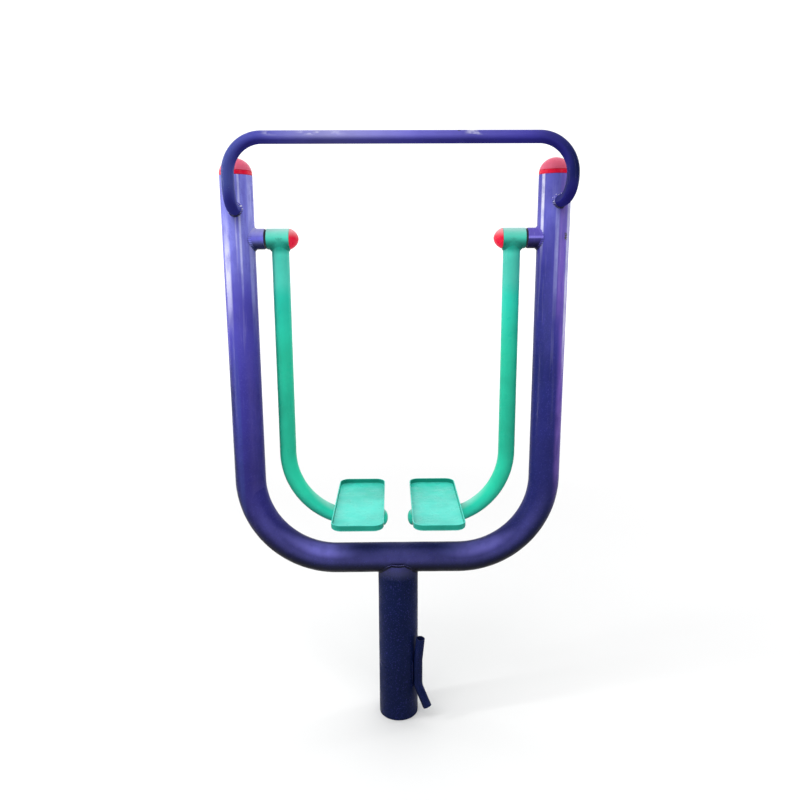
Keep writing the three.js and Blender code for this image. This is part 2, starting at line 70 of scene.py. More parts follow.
# Places read from the frame
frame_low, frame_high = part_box("u_frame")
FRAME_RADIUS = frame_high.y
POST_PLACE = frame_high.x - FRAME_RADIUS
POST_TOP = frame_high.z
FRAME_UNDERSIDE = frame_low.z
FRAME_BOTTOM = FRAME_UNDERSIDE + FRAME_RADIUS
rail_low, rail_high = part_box("handrail")
GROUND_POST_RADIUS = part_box("ground_post")[1].x
GROUND_POST_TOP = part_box("ground_post")[1].z
CAP_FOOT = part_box("right_post_cap")[0].z
hub_low, hub_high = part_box("right_hub")
HUB_RADIUS = hub_high.y
AXLE_HEIGHT = (hub_low.z + hub_high.z) / 2
AXLE = UP * AXLE_HEIGHT
STUB_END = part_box("right_axle_stub")[0].x
seal_low, seal_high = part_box("right_dust_seal")
hub_cap_low, hub_cap_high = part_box("right_hub_cap")
arm_low, arm_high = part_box("right_arm_tube")
ARM_RADIUS = arm_high.y
ARM_PLACE = arm_high.x - ARM_RADIUS
RUN_HEIGHT = arm_low.z + ARM_RADIUS
plug_low, plug_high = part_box("right_arm_end_plug")
saddle_low, saddle_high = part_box("right_pedal_saddle")
pedal_low, pedal_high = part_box("right_pedal")
BEARING_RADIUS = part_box("right_outboard_bearing_outer_ring")[1].y
AXLE_ROOT_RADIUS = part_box("right_axle")[1].y


# Settings that a user can change
def length_of(name, description, default, low=0.001):
    """A setting that holds a length."""
    return FloatProperty(name=name, description=description, default=default, min=low, unit="LENGTH")


def angle_of(name, description, degrees):
    """A setting that holds an angle."""
    return FloatProperty(name=name, description=description, default=math.radians(degrees), subtype="ANGLE")


def colour_of(name, description, default):
    """A setting that holds a colour."""
    return FloatVectorProperty(
        name=name, description=description, default=default, min=0, max=1, subtype="COLOR",
    )


class FrameSettings(bpy.types.PropertyGroup):
    """Sizes of the bent frame, of its ground post and of the post caps."""

    bend_radius: length_of("Bend radius", "Centre-line radius of the frame's two bends", 0.252, 0.1)
    wall: length_of("Wall", "Wall of the frame's tube", 0.003)
    ground_wall: length_of("Ground post wall", "Wall of the ground post", 0.004)
    head_drop: length_of(
        "Head drop", "From the frame's underside down to the shoulder of the ground post's head", 0.004, 0,
    )
    head_thickness: length_of(
        "Head thickness", "Steel between the ground post's bore and the frame's underside", 0.012,
    )
    head_top_radius: length_of("Head top radius", "Radius of the ground post's head at its top", 0.046, 0.01)
    cap_band: length_of("Cap band", "Height of a post cap's straight band", 0.012)
    cap_dome: length_of("Cap dome", "Height of a post cap's dome", 0.034)
    cap_step: length_of("Cap step", "How far a post cap's dome stands back from its band", 0.001, 0)
    cap_groove: length_of("Cap groove", "Width and depth of the grooves round the plastic caps", 0.0013, 0)
    cap_wall: length_of("Cap wall", "Wall of the plastic caps", 0.0025)


class HandrailSettings(bpy.types.PropertyGroup):
    """Sizes of the handrail, whose ends hook back to the posts."""

    radius: length_of("Radius", "Outer radius of the handrail's tube", 0.0165, 0.005)
    wall: length_of("Wall", "Wall of the handrail's tube", 0.0025)
    corner_radius: length_of("Corner radius", "Centre-line radius between the bar and its legs", 0.09, 0.02)
    hook_radius: length_of("Hook radius", "Centre-line radius between a leg and its end", 0.058, 0.02)
    left_leg: length_of("Left leg", "Straight length of the left leg", 0.024, 0)
    right_leg: length_of("Right leg", "Straight length of the right leg", 0.005, 0)
    left_inset: length_of(
        "Left hook inset", "How far inboard of its post's axis the left hook points", 0.002, 0,
    )
    right_inset: length_of(
        "Right hook inset", "How far inboard of its post's axis the right hook points", 0.0035, 0,
    )


class AnchorSettings(bpy.types.PropertyGroup):
    """Sizes of the anchor tube on the ground post's side."""

    radius: length_of("Radius", "Outer radius of the anchor tube", 0.0135, 0.005)
    wall: length_of("Wall", "Wall of the anchor tube", 0.003)
    bend_radius: length_of("Bend radius", "Centre-line radius of the anchor tube's bends", 0.045, 0.02)
    bearing: angle_of("Bearing", "Where the tube stands round the ground post, from the right", -36)
    lean: angle_of("Lean", "How far the tube's neck leans away from the ground post", 6.5)
    tail_angle: angle_of("Tail angle", "How far the tube's tail turns out", 29)
    neck: length_of("Neck", "Length of the leaning neck", 0.072, 0.01)
    straight_top: length_of("Straight top", "Height at which the tube's straight part begins", 0.197)
    straight_bottom: length_of("Straight bottom", "Height at which the tube's straight part ends", 0.125)
    tail: length_of("Tail", "Length of the tube's straight tail", 0.06, 0.01)


class ArmSettings(bpy.types.PropertyGroup):
    """Sizes of the swinging arms, with their hubs and pedals."""

    bend_radius: length_of("Bend radius", "Centre-line radius of an arm's bend", 0.205, 0.05)
    wall: length_of("Wall", "Wall of an arm's tube", 0.003)
    hub_waist: length_of("Hub waist", "Radius of a hub's bore between its bearings", 0.02, 0.01)
    inboard_seat: length_of("Inboard seat", "Depth of the bearing seat in a hub's inner end", 0.0193, 0.005)
    outboard_seat: length_of("Outboard seat", "Depth of the bearing seat in a hub's outer end", 0.0173, 0.005)
    stub_wall: length_of("Stub wall", "Wall of an axle stub", 0.0035)
    seal_thickness: length_of("Seal thickness", "How much of a dust seal shows beside the hub", 0.005)
    cone_share: FloatProperty(
        name="Hub cap cone", description="How far a hub cap's dome is drawn in towards a cone",
        default=0.22, min=0, max=1, subtype="FACTOR",
    )
    edge_round: length_of("Edge rounding", "Width of the rounding on turned edges", 0.0014, 0.0002)
    pedal_corner: length_of("Pedal corner", "Radius of a pedal's corners, seen from above", 0.03, 0.005)
    pedal_edge: length_of("Pedal edge", "Radius of a pedal's lower edge", 0.006)
    pedal_sheet: length_of("Pedal sheet", "Thickness of a pedal's plate and rim", 0.003)
    rib_count: IntProperty(
        name="Tread ribs", description="Low ribs across a pedal's tread", default=15, min=1,
    )
    rib_height: length_of("Rib height", "How far a tread rib stands up", 0.00013, 0.0001)


class WeldSettings(bpy.types.PropertyGroup):
    """Sizes of the weld beads."""

    frame_bead: length_of("Frame bead", "Radius of the beads on the frame's tube", 0.005)
    rail_bead: length_of("Rail bead", "Radius of the beads at the handrail's ends", 0.0045)
    arm_bead: length_of("Arm bead", "Radius of the bead between an arm and its hub", 0.006)
    seam_bead: length_of("Seam bead", "Radius of the beads along the anchor tube", 0.0035)


class FinishSettings(bpy.types.PropertyGroup):
    """Colours of the paints and plastics."""

    # The frame's paint runs from navy low down through purple to violet on top: partly sun fading, partly
    # painted shade.
    violet: colour_of(
        "Violet paint", "Paint of the frame where the sun has bleached it", (0.085, 0.075, 0.46),
    )
    purple: colour_of(
        "Purple paint", "Paint of the frame where it has kept its colour", (0.018, 0.0155, 0.13),
    )
    navy: colour_of(
        "Navy paint", "Paint of the ground post and of the handrail's right leg", (0.0038, 0.0092, 0.05),
    )
    green: colour_of("Green paint", "Paint of the arms and hubs", (0.022, 0.58, 0.43))
    pale_green: colour_of("Pale green paint", "Paint of the pedals", (0.08, 0.62, 0.52))
    red: colour_of("Red plastic", "Plastic of the hub caps", (0.72, 0.006, 0.04))
    faded_red: colour_of("Faded red plastic", "Plastic of the post caps, bleached on top", (0.66, 0.11, 0.19))


class StageSettings(bpy.types.PropertyGroup):
    """The floor, the lights and the camera."""

    floor_radius: length_of("Floor radius", "Radius of the round floor", 40, 2)
    sky: FloatProperty(name="Sky", description="Strength of the pale surroundings", default=1.25, min=0)
    dim_side: FloatProperty(
        name="Dim side", description="Strength of the surroundings at the front on the right",
        default=0.07, min=0,
    )
    strip_power: FloatProperty(
        name="Strip power", description="Power of each tall strip light", default=22, min=0, unit="POWER",
    )
    top_power: FloatProperty(
        name="Top power", description="Power of the large light overhead", default=55, min=0, unit="POWER",
    )
    camera_place: FloatVectorProperty(
        name="Camera place", description="Where the camera stands", default=(-0.0155, -1.9767, 1.4142),
        subtype="TRANSLATION",
    )
    camera_pitch: angle_of("Camera pitch", "How far the camera looks down", 11.61)
    camera_yaw: angle_of("Camera yaw", "How far the camera looks to the right", 0.69)
    camera_roll: angle_of("Camera roll", "How far the camera is tilted sideways", -0.27)
    lens: FloatProperty(name="Lens", description="Focal length in millimetres", default=31.2, min=5)


class AirWalkerSettings(bpy.types.PropertyGroup):
    """All settings of the air walker."""

    frame: PointerProperty(name="Frame", description="Sizes of the frame", type=FrameSettings)
    handrail: PointerProperty(name="Handrail", description="Sizes of the handrail", type=HandrailSettings)
    anchor: PointerProperty(name="Anchor tube", description="Sizes of the anchor tube", type=AnchorSettings)
    arm: PointerProperty(name="Arms", description="Sizes of the arms", type=ArmSettings)
    welds: PointerProperty(name="Welds", description="Sizes of the weld beads", type=WeldSettings)
    finish: PointerProperty(name="Finish", description="Colours of the finishes", type=FinishSettings)
    stage: PointerProperty(name="Stage", description="Floor, lights and camera", type=StageSettings)


# Modelling helpers
MERGE_DISTANCE = 0.00001
SMOOTH_ANGLE = math.radians(35)
BEND_STEP = math.radians(3)
DOME_STEPS = 14
STRAIGHT_UP = 0.99
THIN_SIDES = 48
TUBE_SIDES = 64
CAP_SIDES = 72
HUB_SIDES = 80
WIDE_SIDES = 96


def only(piece):
    """Makes one piece the selected and active one."""
    bpy.ops.object.select_all(action="DESELECT")
    piece.select_set(True)
    bpy.context.view_layer.objects.active = piece


def named(name):
    """Names the primitive that was just added and moves its place into its mesh."""
    piece = bpy.context.active_object
    piece.name = name
    piece.data.name = name
    bpy.ops.object.transform_apply(location=True, rotation=True, scale=True)
    return piece


def edit(piece):
    """Opens a piece in edit mode, all of it selected."""
    only(piece)
    bpy.ops.object.mode_set(mode="EDIT")
    bpy.ops.mesh.select_mode(type="VERT")
    bpy.ops.mesh.select_all(action="SELECT")


def pick(piece, kind, test):
    """Selects the edges or the faces of an open piece that pass a test."""
    bpy.ops.mesh.select_mode(type=kind)
    bpy.ops.mesh.select_all(action="DESELECT")
    mesh = bmesh.from_edit_mesh(piece.data)
    elements = {"EDGE": mesh.edges, "FACE": mesh.faces}[kind]
    picked = [element for element in elements if test(element)]
    if not picked:
        raise RuntimeError(f"{piece.name} has nothing to pick")
    for element in picked:
        element.select_set(True)
    mesh.select_flush_mode()
    bmesh.update_edit_mesh(piece.data)


def is_upright(edge):
    """Whether an edge runs straight up and down."""
    return abs((edge.verts[0].co - edge.verts[1].co).normalized().z) > STRAIGHT_UP


def looks_up(face):
    """Whether a face looks straight up."""
    return face.normal.z > STRAIGHT_UP


def at_height(height):
    """A test for edges that lie at a height."""
    def lies_there(edge):
        return all(abs(vertex.co.z - height) < MERGE_DISTANCE for vertex in edge.verts)
    return lies_there


def close(piece):
    """Merges doubles, turns the faces outwards, leaves edit mode and smooths the shading."""
    bpy.ops.mesh.select_all(action="SELECT")
    bpy.ops.mesh.remove_doubles(threshold=MERGE_DISTANCE)
    bpy.ops.mesh.normals_make_consistent(inside=False)
    bpy.ops.object.mode_set(mode="OBJECT")
    bpy.ops.object.shade_smooth_by_angle(angle=SMOOTH_ANGLE)
    return piece


def modify(piece, kind, **settings):
    """Adds a modifier with its settings and applies it."""
    only(piece)
    modifier = piece.modifiers.new(kind.title(), kind)
    for setting, value in settings.items():
        setattr(modifier, setting, value)
    if bpy.ops.object.modifier_apply(modifier=modifier.name) != {"FINISHED"}:
        raise RuntimeError(f"{piece.name} could not take its {kind.lower()}")


def combine(piece, other, operation="DIFFERENCE"):
    """Cuts a piece by another one, or joins the two, and removes the other."""
    modify(piece, "BOOLEAN", object=other, operation=operation, solver="EXACT")
    bpy.data.objects.remove(other, do_unlink=True)
    if not piece.data.polygons:
        raise RuntimeError(f"{piece.name} was cut away")
    bpy.ops.object.shade_smooth_by_angle(angle=SMOOTH_ANGLE)


def rounded(piece, width, segments=3):
    """Rounds the sharp edges of a piece."""
    modify(piece, "BEVEL", width=width, segments=segments, limit_method="ANGLE", angle_limit=SMOOTH_ANGLE)
    bpy.ops.object.shade_smooth_by_angle(angle=SMOOTH_ANGLE)


def turn_to(heading):
    """The turn that points +Z along a heading."""
    return UP.rotation_difference(heading).to_euler()


def cylinder(name, radius, start, end):
    """A plain closed cylinder between two places, to cut with."""
    axis = end - start
    bpy.ops.mesh.primitive_cylinder_add(
        vertices=WIDE_SIDES, radius=radius, depth=axis.length,
        location=(start + end) / 2, rotation=turn_to(axis),
    )
    return named(name)


def fit_to_post(piece, place):
    """Cuts a piece's end to fit the post that stands at a place along X."""
    low, high = Vector((place, 0, FRAME_BOTTOM)), Vector((place, 0, POST_TOP))
    combine(piece, cylinder("fish_mouth", FRAME_RADIUS, low, high))


def block(name, low, high, corner, segments):
    """A block between two corners with rounded upright edges, left open in edit mode."""
    bpy.ops.mesh.primitive_cube_add(size=1, location=(low + high) / 2, scale=high - low)
    piece = named(name)
    edit(piece)
    pick(piece, "EDGE", is_upright)
    bpy.ops.mesh.bevel(offset=corner, segments=segments, affect="EDGES")
    return piece


def turned(name, profile, axis_place, axis, sides=TUBE_SIDES):
    """A closed shape turned about an axis, from its section's pairs of radius and distance along the axis."""
    across = axis.orthogonal().normalized()
    points = [axis_place + across * radius + axis * along for radius, along in profile]
    bpy.ops.mesh.primitive_plane_add(size=MERGE_DISTANCE, location=points[0])
    piece = named(name)
    edit(piece)
    bpy.ops.mesh.merge(type="CENTER")
    for here, there in zip(points, points[1:]):
        bpy.ops.mesh.extrude_region_move(TRANSFORM_OT_translate={"value": there - here})
    bpy.ops.mesh.select_all(action="SELECT")
    bpy.ops.mesh.spin(steps=sides, angle=FULL_TURN, center=axis_place, axis=axis)
    return close(piece)


def dome(radius, base, height, cone_share=0.0):
    """A dome's section from its rim to its tip: a quarter ellipse, drawn in towards a cone."""
    section = []
    for step in range(DOME_STEPS):
        angle = QUARTER_TURN * step / DOME_STEPS
        share = (1 - cone_share) * math.cos(angle) + cone_share * (1 - math.sin(angle))
        section.append((radius * share, base + height * math.sin(angle)))
    section.append((0, base + height))
    return section


class Bend(NamedTuple):
    """A round bend in a tube: its centre-line radius, how far it turns and about what direction."""

    radius: float
    angle: float
    axis: Vector


def bent_tube(name, radius, wall, start, heading, legs, sides=TUBE_SIDES):
    """A tube that starts at a place with a heading, and follows straight lengths and bends in turn.
    It is open at both ends, or a solid bar where its wall is 0."""
    bpy.ops.mesh.primitive_circle_add(
        vertices=sides, radius=radius, fill_type="NOTHING", location=start, rotation=turn_to(heading),
    )
    piece = named(name)
    edit(piece)
    place = start.copy()
    heading = heading.normalized()
    for leg in legs:
        if isinstance(leg, Bend):
            centre = place + leg.axis.cross(heading) * leg.radius
            steps = math.ceil(leg.angle / BEND_STEP)
            bpy.ops.mesh.spin(steps=steps, angle=-leg.angle, center=centre, axis=leg.axis)
            turn = Quaternion(leg.axis, leg.angle)
            place = centre + turn @ (place - centre)
            heading = turn @ heading
        else:
            bpy.ops.mesh.extrude_region_move(TRANSFORM_OT_translate={"value": heading * leg})
            place = place + heading * leg
    if not wall:
        bpy.ops.mesh.select_all(action="SELECT")
        bpy.ops.mesh.fill_holes(sides=0)
    close(piece)
    if wall:
        modify(piece, "SOLIDIFY", thickness=wall, offset=-1, use_even_offset=True)
    return piece


def other_side(piece, name):
    """A copy of a piece, with its own mesh, turned half round the air walker's middle."""
    only(piece)
    bpy.ops.object.duplicate(linked=False)
    copy = bpy.context.active_object
    copy.rotation_euler = (0, 0, HALF_TURN)
    return named(name)


def dress(piece, body, slot, material, *nodes):
    """Gives a finished piece its material, and lets it ride on its body in place of the nodes."""
    piece.data.materials.clear()
    piece.data.materials.append(material)
    if nodes:
        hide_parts(*nodes)
    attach(piece, body)


def dress_both(piece, suffix, bodies, slot, material, *nodes):
    """Dresses the right-hand piece and its copy on the left. bodies are the right and the left one."""
    copy = other_side(piece, f"left_{suffix}")
    for dressed, side, body in ((piece, "right", bodies[0]), (copy, "left", bodies[1])):
        dress(dressed, body, slot, material, *(f"{side}_{node}" for node in nodes))


# The bodies of fixed and of swinging pieces, each on the right and on the left
FRAME_BODY = "frame"
FIXED = (FRAME_BODY, FRAME_BODY)
SWINGING = ("right_arm", "left_arm")


# Weld beads: their steps and sides, their unevenness in shares of their radius, and how many ripples each has
BEAD_SIDES = 12
BEAD_STEPS = 160
RIPPLE_SHARE = 0.08
WANDER_SHARE = 0.08
WANDER_TURNS = 3
HOLLOW_SHARE = 0.38
STEPS_TO_RIPPLE = 8
TAPER_POWER = 0.35
RIPPLES = {"stub": 34, "arm": 28, "rail": 22, "head": 46, "anchor": 11}


class RoundTube(NamedTuple):
    """The outside of a straight tube: a place on its axis, its direction and its radius."""

    place: Vector
    direction: Vector
    radius: float

    def reach(self, place, heading):
        """How far a line runs from a place outside, along a heading, before it meets the tube."""
        offset = place - self.place
        across = offset - self.direction * offset.dot(self.direction)
        slope = heading - self.direction * heading.dot(self.direction)
        middle = -across.dot(slope) / slope.length_squared
        depth = middle ** 2 - (across.length_squared - self.radius ** 2) / slope.length_squared
        return middle - math.sqrt(max(depth, 0))


def ripple(angle, ripples):
    """How a bead swells and narrows on its way round, as a share of its radius."""
    wander = WANDER_SHARE * math.sin(WANDER_TURNS * angle + ripples)
    return 1 + RIPPLE_SHARE * math.cos(ripples * angle) + wander


def ring_bead(name, place, heading, ring_radius, bead_radius, ripples, lie):
    """A weld bead round a tube, hollow like a fillet. The ring's middle is at a place, with a heading, and
    lie gives, for a spot on the ring and the way outwards there, how far the bead moves outwards and along
    the heading, and how steeply the surface that it meets falls away outwards."""
    bpy.ops.mesh.primitive_torus_add(
        major_radius=ring_radius, minor_radius=bead_radius, major_segments=BEAD_STEPS,
        minor_segments=BEAD_SIDES, location=(0, 0, 0),
    )
    piece = named(name)
    turn = UP.rotation_difference(heading)
    for vertex in piece.data.vertices:
        angle = math.atan2(vertex.co.y, vertex.co.x)
        spoke = Vector((math.cos(angle), math.sin(angle), 0))
        outwards, along, fall = lie(place + turn @ (spoke * ring_radius), turn @ spoke)
        section = (vertex.co - spoke * ring_radius) * ripple(angle, ripples)
        out_part, along_part = section.dot(spoke), section.z
        if out_part > 0 > along_part:
            share = math.atan2(-along_part, out_part) / QUARTER_TURN
            section *= 1 - HOLLOW_SHARE * math.sin(HALF_TURN * share)
            out_part = section.dot(spoke)
        vertex.co = spoke * (ring_radius + outwards) + section + UP * (along + max(out_part, 0) * fall)
    only(piece)
    piece.location = place
    piece.rotation_euler = turn.to_euler()
    bpy.ops.object.transform_apply(location=True, rotation=True, scale=True)
    edit(piece)
    return close(piece)


def joint_bead(name, place, heading, tube_radius, bead_radius, host, ripples):
    """A weld bead where a tube's end meets the side of another tube, its host."""
    def lie(spot, spoke):
        along = host.reach(spot, heading)
        return 0, along, (host.reach(spot + spoke * bead_radius, heading) - along) / bead_radius

    return ring_bead(name, place, heading, tube_radius, bead_radius, ripples, lie)


def seam_bead(name, start, end, bead_radius, ripples):
    """A straight weld bead between two places, tapered at its ends."""
    length = (end - start).length
    steps = STEPS_TO_RIPPLE * ripples
    profile = []
    for step in range(steps + 1):
        share = step / steps
        swelling = math.sin(math.pi * share) ** TAPER_POWER if 0 < share < 1 else 0
        profile.append((bead_radius * swelling * ripple(FULL_TURN * share, ripples), length * share))
    return turned(name, profile, start, (end - start).normalized(), sides=BEAD_SIDES)


# Materials
class Shades:
    """A material whose nodes are added one by one."""

    def __init__(self, name):
        self.material = bpy.data.materials.new(name)
        self.material.use_nodes = True
        self.tree = self.material.node_tree
        self.shader = self.tree.nodes["Principled BSDF"]
        source = self.node("ShaderNodeTexCoord")
        self.place = source.outputs["Object"]
        self.normal = source.outputs["Normal"]

    def node(self, kind, **settings):
        """Adds a node and sets its own settings."""
        made = self.tree.nodes.new(kind)
        for setting, value in settings.items():
            setattr(made, setting, value)
        return made

    def feed(self, socket, value):
        """Links a value into a socket, or sets it there."""
        if isinstance(value, bpy.types.NodeSocket):
            self.tree.links.new(value, socket)
        else:
            socket.default_value = value

    def give(self, socket, value):
        """Feeds one of the shader's own sockets."""
        self.feed(self.shader.inputs[socket], value)

    def ramp(self, value, from_low, from_high, to_low=0.0, to_high=1.0, smooth=True):
        """Maps a range of values onto another one, held at its ends."""
        made = self.node("ShaderNodeMapRange", interpolation_type="SMOOTHSTEP" if smooth else "LINEAR")
        for socket, number in zip(made.inputs, (value, from_low, from_high, to_low, to_high)):
            self.feed(socket, number)
        return made.outputs["Result"]

    def noise(self, scale, detail, stretch=(1, 1, 1)):
        """Cloudy noise on the object's own coordinates, stretched along some of them."""
        mapping = self.node("ShaderNodeMapping")
        self.feed(mapping.inputs["Vector"], self.place)
        mapping.inputs["Scale"].default_value = stretch
        made = self.node("ShaderNodeTexNoise")
        self.feed(made.inputs["Vector"], mapping.outputs["Vector"])
        made.inputs["Scale"].default_value = scale
        made.inputs["Detail"].default_value = detail
        return made.outputs["Fac"]

    def clouds(self, scale, low, high, to_low=0.0, to_high=1.0, detail=3, stretch=(1, 1, 1)):
        """Noise whose values between two levels are mapped onto a range."""
        return self.ramp(self.noise(scale, detail, stretch), low, high, to_low, to_high)

    def math(self, operation, first, second=0.0):
        """One sum on two values."""
        made = self.node("ShaderNodeMath", operation=operation)
        self.feed(made.inputs[0], first)
        self.feed(made.inputs[1], second)
        return made.outputs["Value"]

    def times(self, product, *factors):
        """Values multiplied together."""
        for factor in factors:
            product = self.math("MULTIPLY", product, factor)
        return product

    def between(self, value, low, high, edge, most=1.0):
        """A band with soft edges: most where a value lies between two others, and 0 outside."""
        return self.times(
            self.ramp(value, low - edge, low + edge), self.ramp(value, high - edge, high + edge, most, 0.0),
        )

    def vector(self, operation, first, second=(0, 0, 0), output="Vector"):
        """One sum on two vectors."""
        made = self.node("ShaderNodeVectorMath", operation=operation)
        self.feed(made.inputs[0], first)
        self.feed(made.inputs[1], second)
        return made.outputs[output]

    def part(self, vector, name):
        """One part of a vector."""
        made = self.node("ShaderNodeSeparateXYZ")
        self.feed(made.inputs["Vector"], vector)
        return made.outputs[name]

    def axis(self, name):
        """One of the object's own coordinates."""
        return self.part(self.place, name)

    def facing(self, name):
        """One part of the surface's direction, on the object's own axes."""
        return self.part(self.normal, name)

    def spot(self, place, radius, stretch):
        """A blot with a ragged edge round a place: 1 inside and 0 outside."""
        offset = self.vector("MULTIPLY", self.vector("SUBTRACT", self.place, place), stretch)
        away = self.vector("LENGTH", offset, output="Value")
        ragged = self.clouds(280, 0.3, 0.7, -radius / 2, radius / 2, detail=2)
        return self.ramp(self.math("ADD", away, ragged), radius * BLOT_CORE_SHARE, radius, 1.0, 0.0)

    def grade(self, value, stops):
        """Colours that follow a value from 0 to 1, through (value, colour) stops."""
        made = self.node("ShaderNodeValToRGB")
        self.feed(made.inputs["Fac"], value)
        elements = made.color_ramp.elements
        elements[0].position, elements[1].position = stops[0][0], stops[-1][0]
        for place, _colour in stops[1:-1]:
            elements.new(place)
        for element, (_place, colour) in zip(elements, stops):
            element.color = (*colour, 1)
        return made.outputs["Color"]

    def by_height(self, stops):
        """Colours that follow the height, through (height, colour) stops."""
        shares = [(height / POST_TOP, colour) for height, colour in stops]
        return self.grade(self.math("DIVIDE", self.axis("Z"), POST_TOP), shares)

    def scaled(self, colour, share):
        """A colour made lighter or darker by a share."""
        made = self.node("ShaderNodeVectorMath", operation="SCALE")
        self.feed(made.inputs[0], colour)
        self.feed(made.inputs["Scale"], share)
        return made.outputs["Vector"]

    def mix(self, share, first, second):
        """Two colours mixed by a share."""
        made = self.node("ShaderNodeMix", data_type="RGBA")
        self.feed(made.inputs["Factor"], share)
        for socket, value in ((made.inputs[6], first), (made.inputs[7], second)):
            self.feed(socket, value if isinstance(value, bpy.types.NodeSocket) else (*value, 1))
        return made.outputs[2]

    def bump(self, height, distance, strength=0.3):
        """Raises the surface by a height pattern."""
        made = self.node("ShaderNodeBump")
        made.inputs["Distance"].default_value = distance
        made.inputs["Strength"].default_value = strength
        self.feed(made.inputs["Height"], height)
        self.give("Normal", made.outputs["Normal"])


def material(name, make, *values):
    """The material of that name, made the first time it is asked for."""
    return bpy.data.materials.get(name) or make(name, *values)


def blend(first, second, share):
    """Two colours mixed by a share, as numbers."""
    return tuple(one + (other - one) * share for one, other in zip(first, second))


def darker(colour, share):
    """A colour scaled towards black."""
    return tuple(part * share for part in colour)


def paler(colour, share):
    """A colour moved towards white."""
    return blend(colour, (1, 1, 1), share)


# How far inside a blot it is whole, and how far the finest roughness of each surface stands up
BLOT_CORE_SHARE = 0.7
PAINT_SKIN = 0.0004
DULL_SKIN = 0.0002
BRUSHED_SKIN = 0.0001

# Colours of worn and chipped paint, of pale specks, and of painted light, shade, highlights and reflections
SPECKS_AND_LIT_TOPS = (0.6, 0.64, 0.68)
PALE_REFLECTION = (0.52, 0.54, 0.88)
WHITE_HIGHLIGHT = (0.74, 0.74, 0.95)
LILAC_REFLECTION = (0.26, 0.14, 0.55)
SLATE = (0.04, 0.06, 0.25)
DUSK = (0.02, 0.023, 0.092)
SHADED = (0.005, 0.015, 0.075)
MAUVE_REFLECTION = (0.13, 0.1, 0.38)
SHADED_EDGE = (0.006, 0.012, 0.07)
GLARE = (0.18, 0.165, 0.6)
HAZY_REFLECTION = (0.31, 0.34, 0.9)
UNDERSIDE_SHADE_VIOLET = (0.05, 0.04, 0.55)
RAIL_END = (0.055, 0.075, 0.27)
CHIPPED = (0.07, 0.06, 0.06)
FRESH_GREEN = (0.068, 0.575, 0.455)

# Heights between which the frame's paint changes: its painted shadow, grain, pale specks on welds (bare weld
# and painted glints) and gloss
SHADOW_SPAN = (1.0, 1.55)
GRAIN_SPAN = (0.8, 1.5)
SPECKLE_SPAN = (0.5, 1.3)
GLOSS_SPAN = (0.55, 1.1)

# Each streak of painted reflection, highlight and shade on a post: the angles from straight ahead between
# which it lies, in degrees and rightwards, the heights between which it lies, its strength and its colour
LEFT_POST_REFLECTIONS_AND_SHADE = (
    (-75, 95, 1.38, 1.8, 0.55, HAZY_REFLECTION),
    (1, 5, 1.42, 1.8, 0.45, WHITE_HIGHLIGHT),
    (14, 21, 1.36, 1.8, 0.85, PALE_REFLECTION),
    (50, 70, 1.25, 1.8, 0.35, PALE_REFLECTION),
    (-50, -24, 1.28, 1.47, 0.7, WHITE_HIGHLIGHT),
    (-38, -12, 0.4, 1.15, 0.5, SLATE),
    (15, 75, 0.6, 1.15, 0.18, MAUVE_REFLECTION),
    (-110, -38, 0.4, 1.12, 0.85, SHADED_EDGE),
)
RIGHT_POST_REFLECTIONS_AND_SHADE = (
    (-70, 40, 1.46, 1.8, 0.22, HAZY_REFLECTION),
    (-110, -2, 1.02, 1.44, 0.4, SHADED),
    (-62, -49, 1.47, 1.8, 1.0, WHITE_HIGHLIGHT),
    (-5, 8, 1.3, 1.54, 0.4, PALE_REFLECTION),
    (10, 42, 1.25, 1.8, 0.5, LILAC_REFLECTION),
    (28, 85, 0.75, 1.3, 0.45, LILAC_REFLECTION),
    (43, 60, 1.15, 1.8, 0.55, WHITE_HIGHLIGHT),
)

# How soft a streak's sides are at least, in degrees, and as a share of its width, and how far its ends fade
LEAST_EDGE = 2
EDGE_SHARE = 1 / 5
STREAK_FADE = 0.09

# How far the paint of a post, squared, and of a stub goes from its axis
POST_REACH = (FRAME_RADIUS * 1.02) ** 2
STUB_REACH = HUB_RADIUS * 1.2

# The stubs' painted light and shade from their undersides to their tops, with a painted highlight line on the
# right stub, which is painted darker than the left
LEFT_STUB_LIGHT_AND_SHADE = (
    (0.08, (0.1, 0.14, 0.54)), (0.25, (0.3, 0.34, 1.0)), (0.46, (0.2, 0.2, 0.92)), (0.6, (0.16, 0.16, 0.62)),
    (0.75, (0.28, 0.28, 0.7)), (0.95, (0.35, 0.35, 0.64)),
)
RIGHT_STUB_LIGHT_AND_SHADE = (
    (0.08, (0.08, 0.07, 0.35)), (0.25, (0.12, 0.1, 0.55)), (0.45, (0.065, 0.055, 0.3)),
    (0.52, (0.3, 0.26, 0.9)), (0.62, (0.12, 0.095, 0.46)), (0.95, (0.13, 0.1, 0.46)),
)

# Each direction of faces with a painted highlight, with how pale they get, and how much of that by the middle
# and at the bends
SUNLIT_FACES = (((0, -0.91, 0.41), 0.23, (1.0, 1.0)), ((0, -0.58, 0.81), 0.65, (0.0, 1.0)))
SUNLIT_SPREAD = 0.76
BEND_SPAN = (0.1, 0.22)
GLARE_TOP = (FRAME_BOTTOM + 3 * FRAME_RADIUS, FRAME_BOTTOM + 6 * FRAME_RADIUS)

# A blot's place, radius and stretch
CHIP = (Vector((0.464, -0.035, 1.47)), 0.006, Vector((1, 1, 0.6)))
NICK = (Vector((0.16, -0.1185, 1.727)), 0.0035, Vector((1, 1, 1)))

# Each stretch along the handrail that hands have worn: where it starts and ends, and how worn it is
WORN_STRETCHES = (
    (-0.382, -0.363, 0.5), (-0.333, -0.295, 0.6), (-0.235, -0.148, 0.7), (0.182, 0.218, 0.8),
)
WORN_TOP = (rail_high.z - 0.017, rail_high.z - 0.008)

# Where, from front to back, the treads start to darken, and how far above and below a tread upright faces
# keep the tread's own paint instead of painted shade
DARKENING_START = -0.05
TREAD_MARGIN = (0.0005, 0.0015)


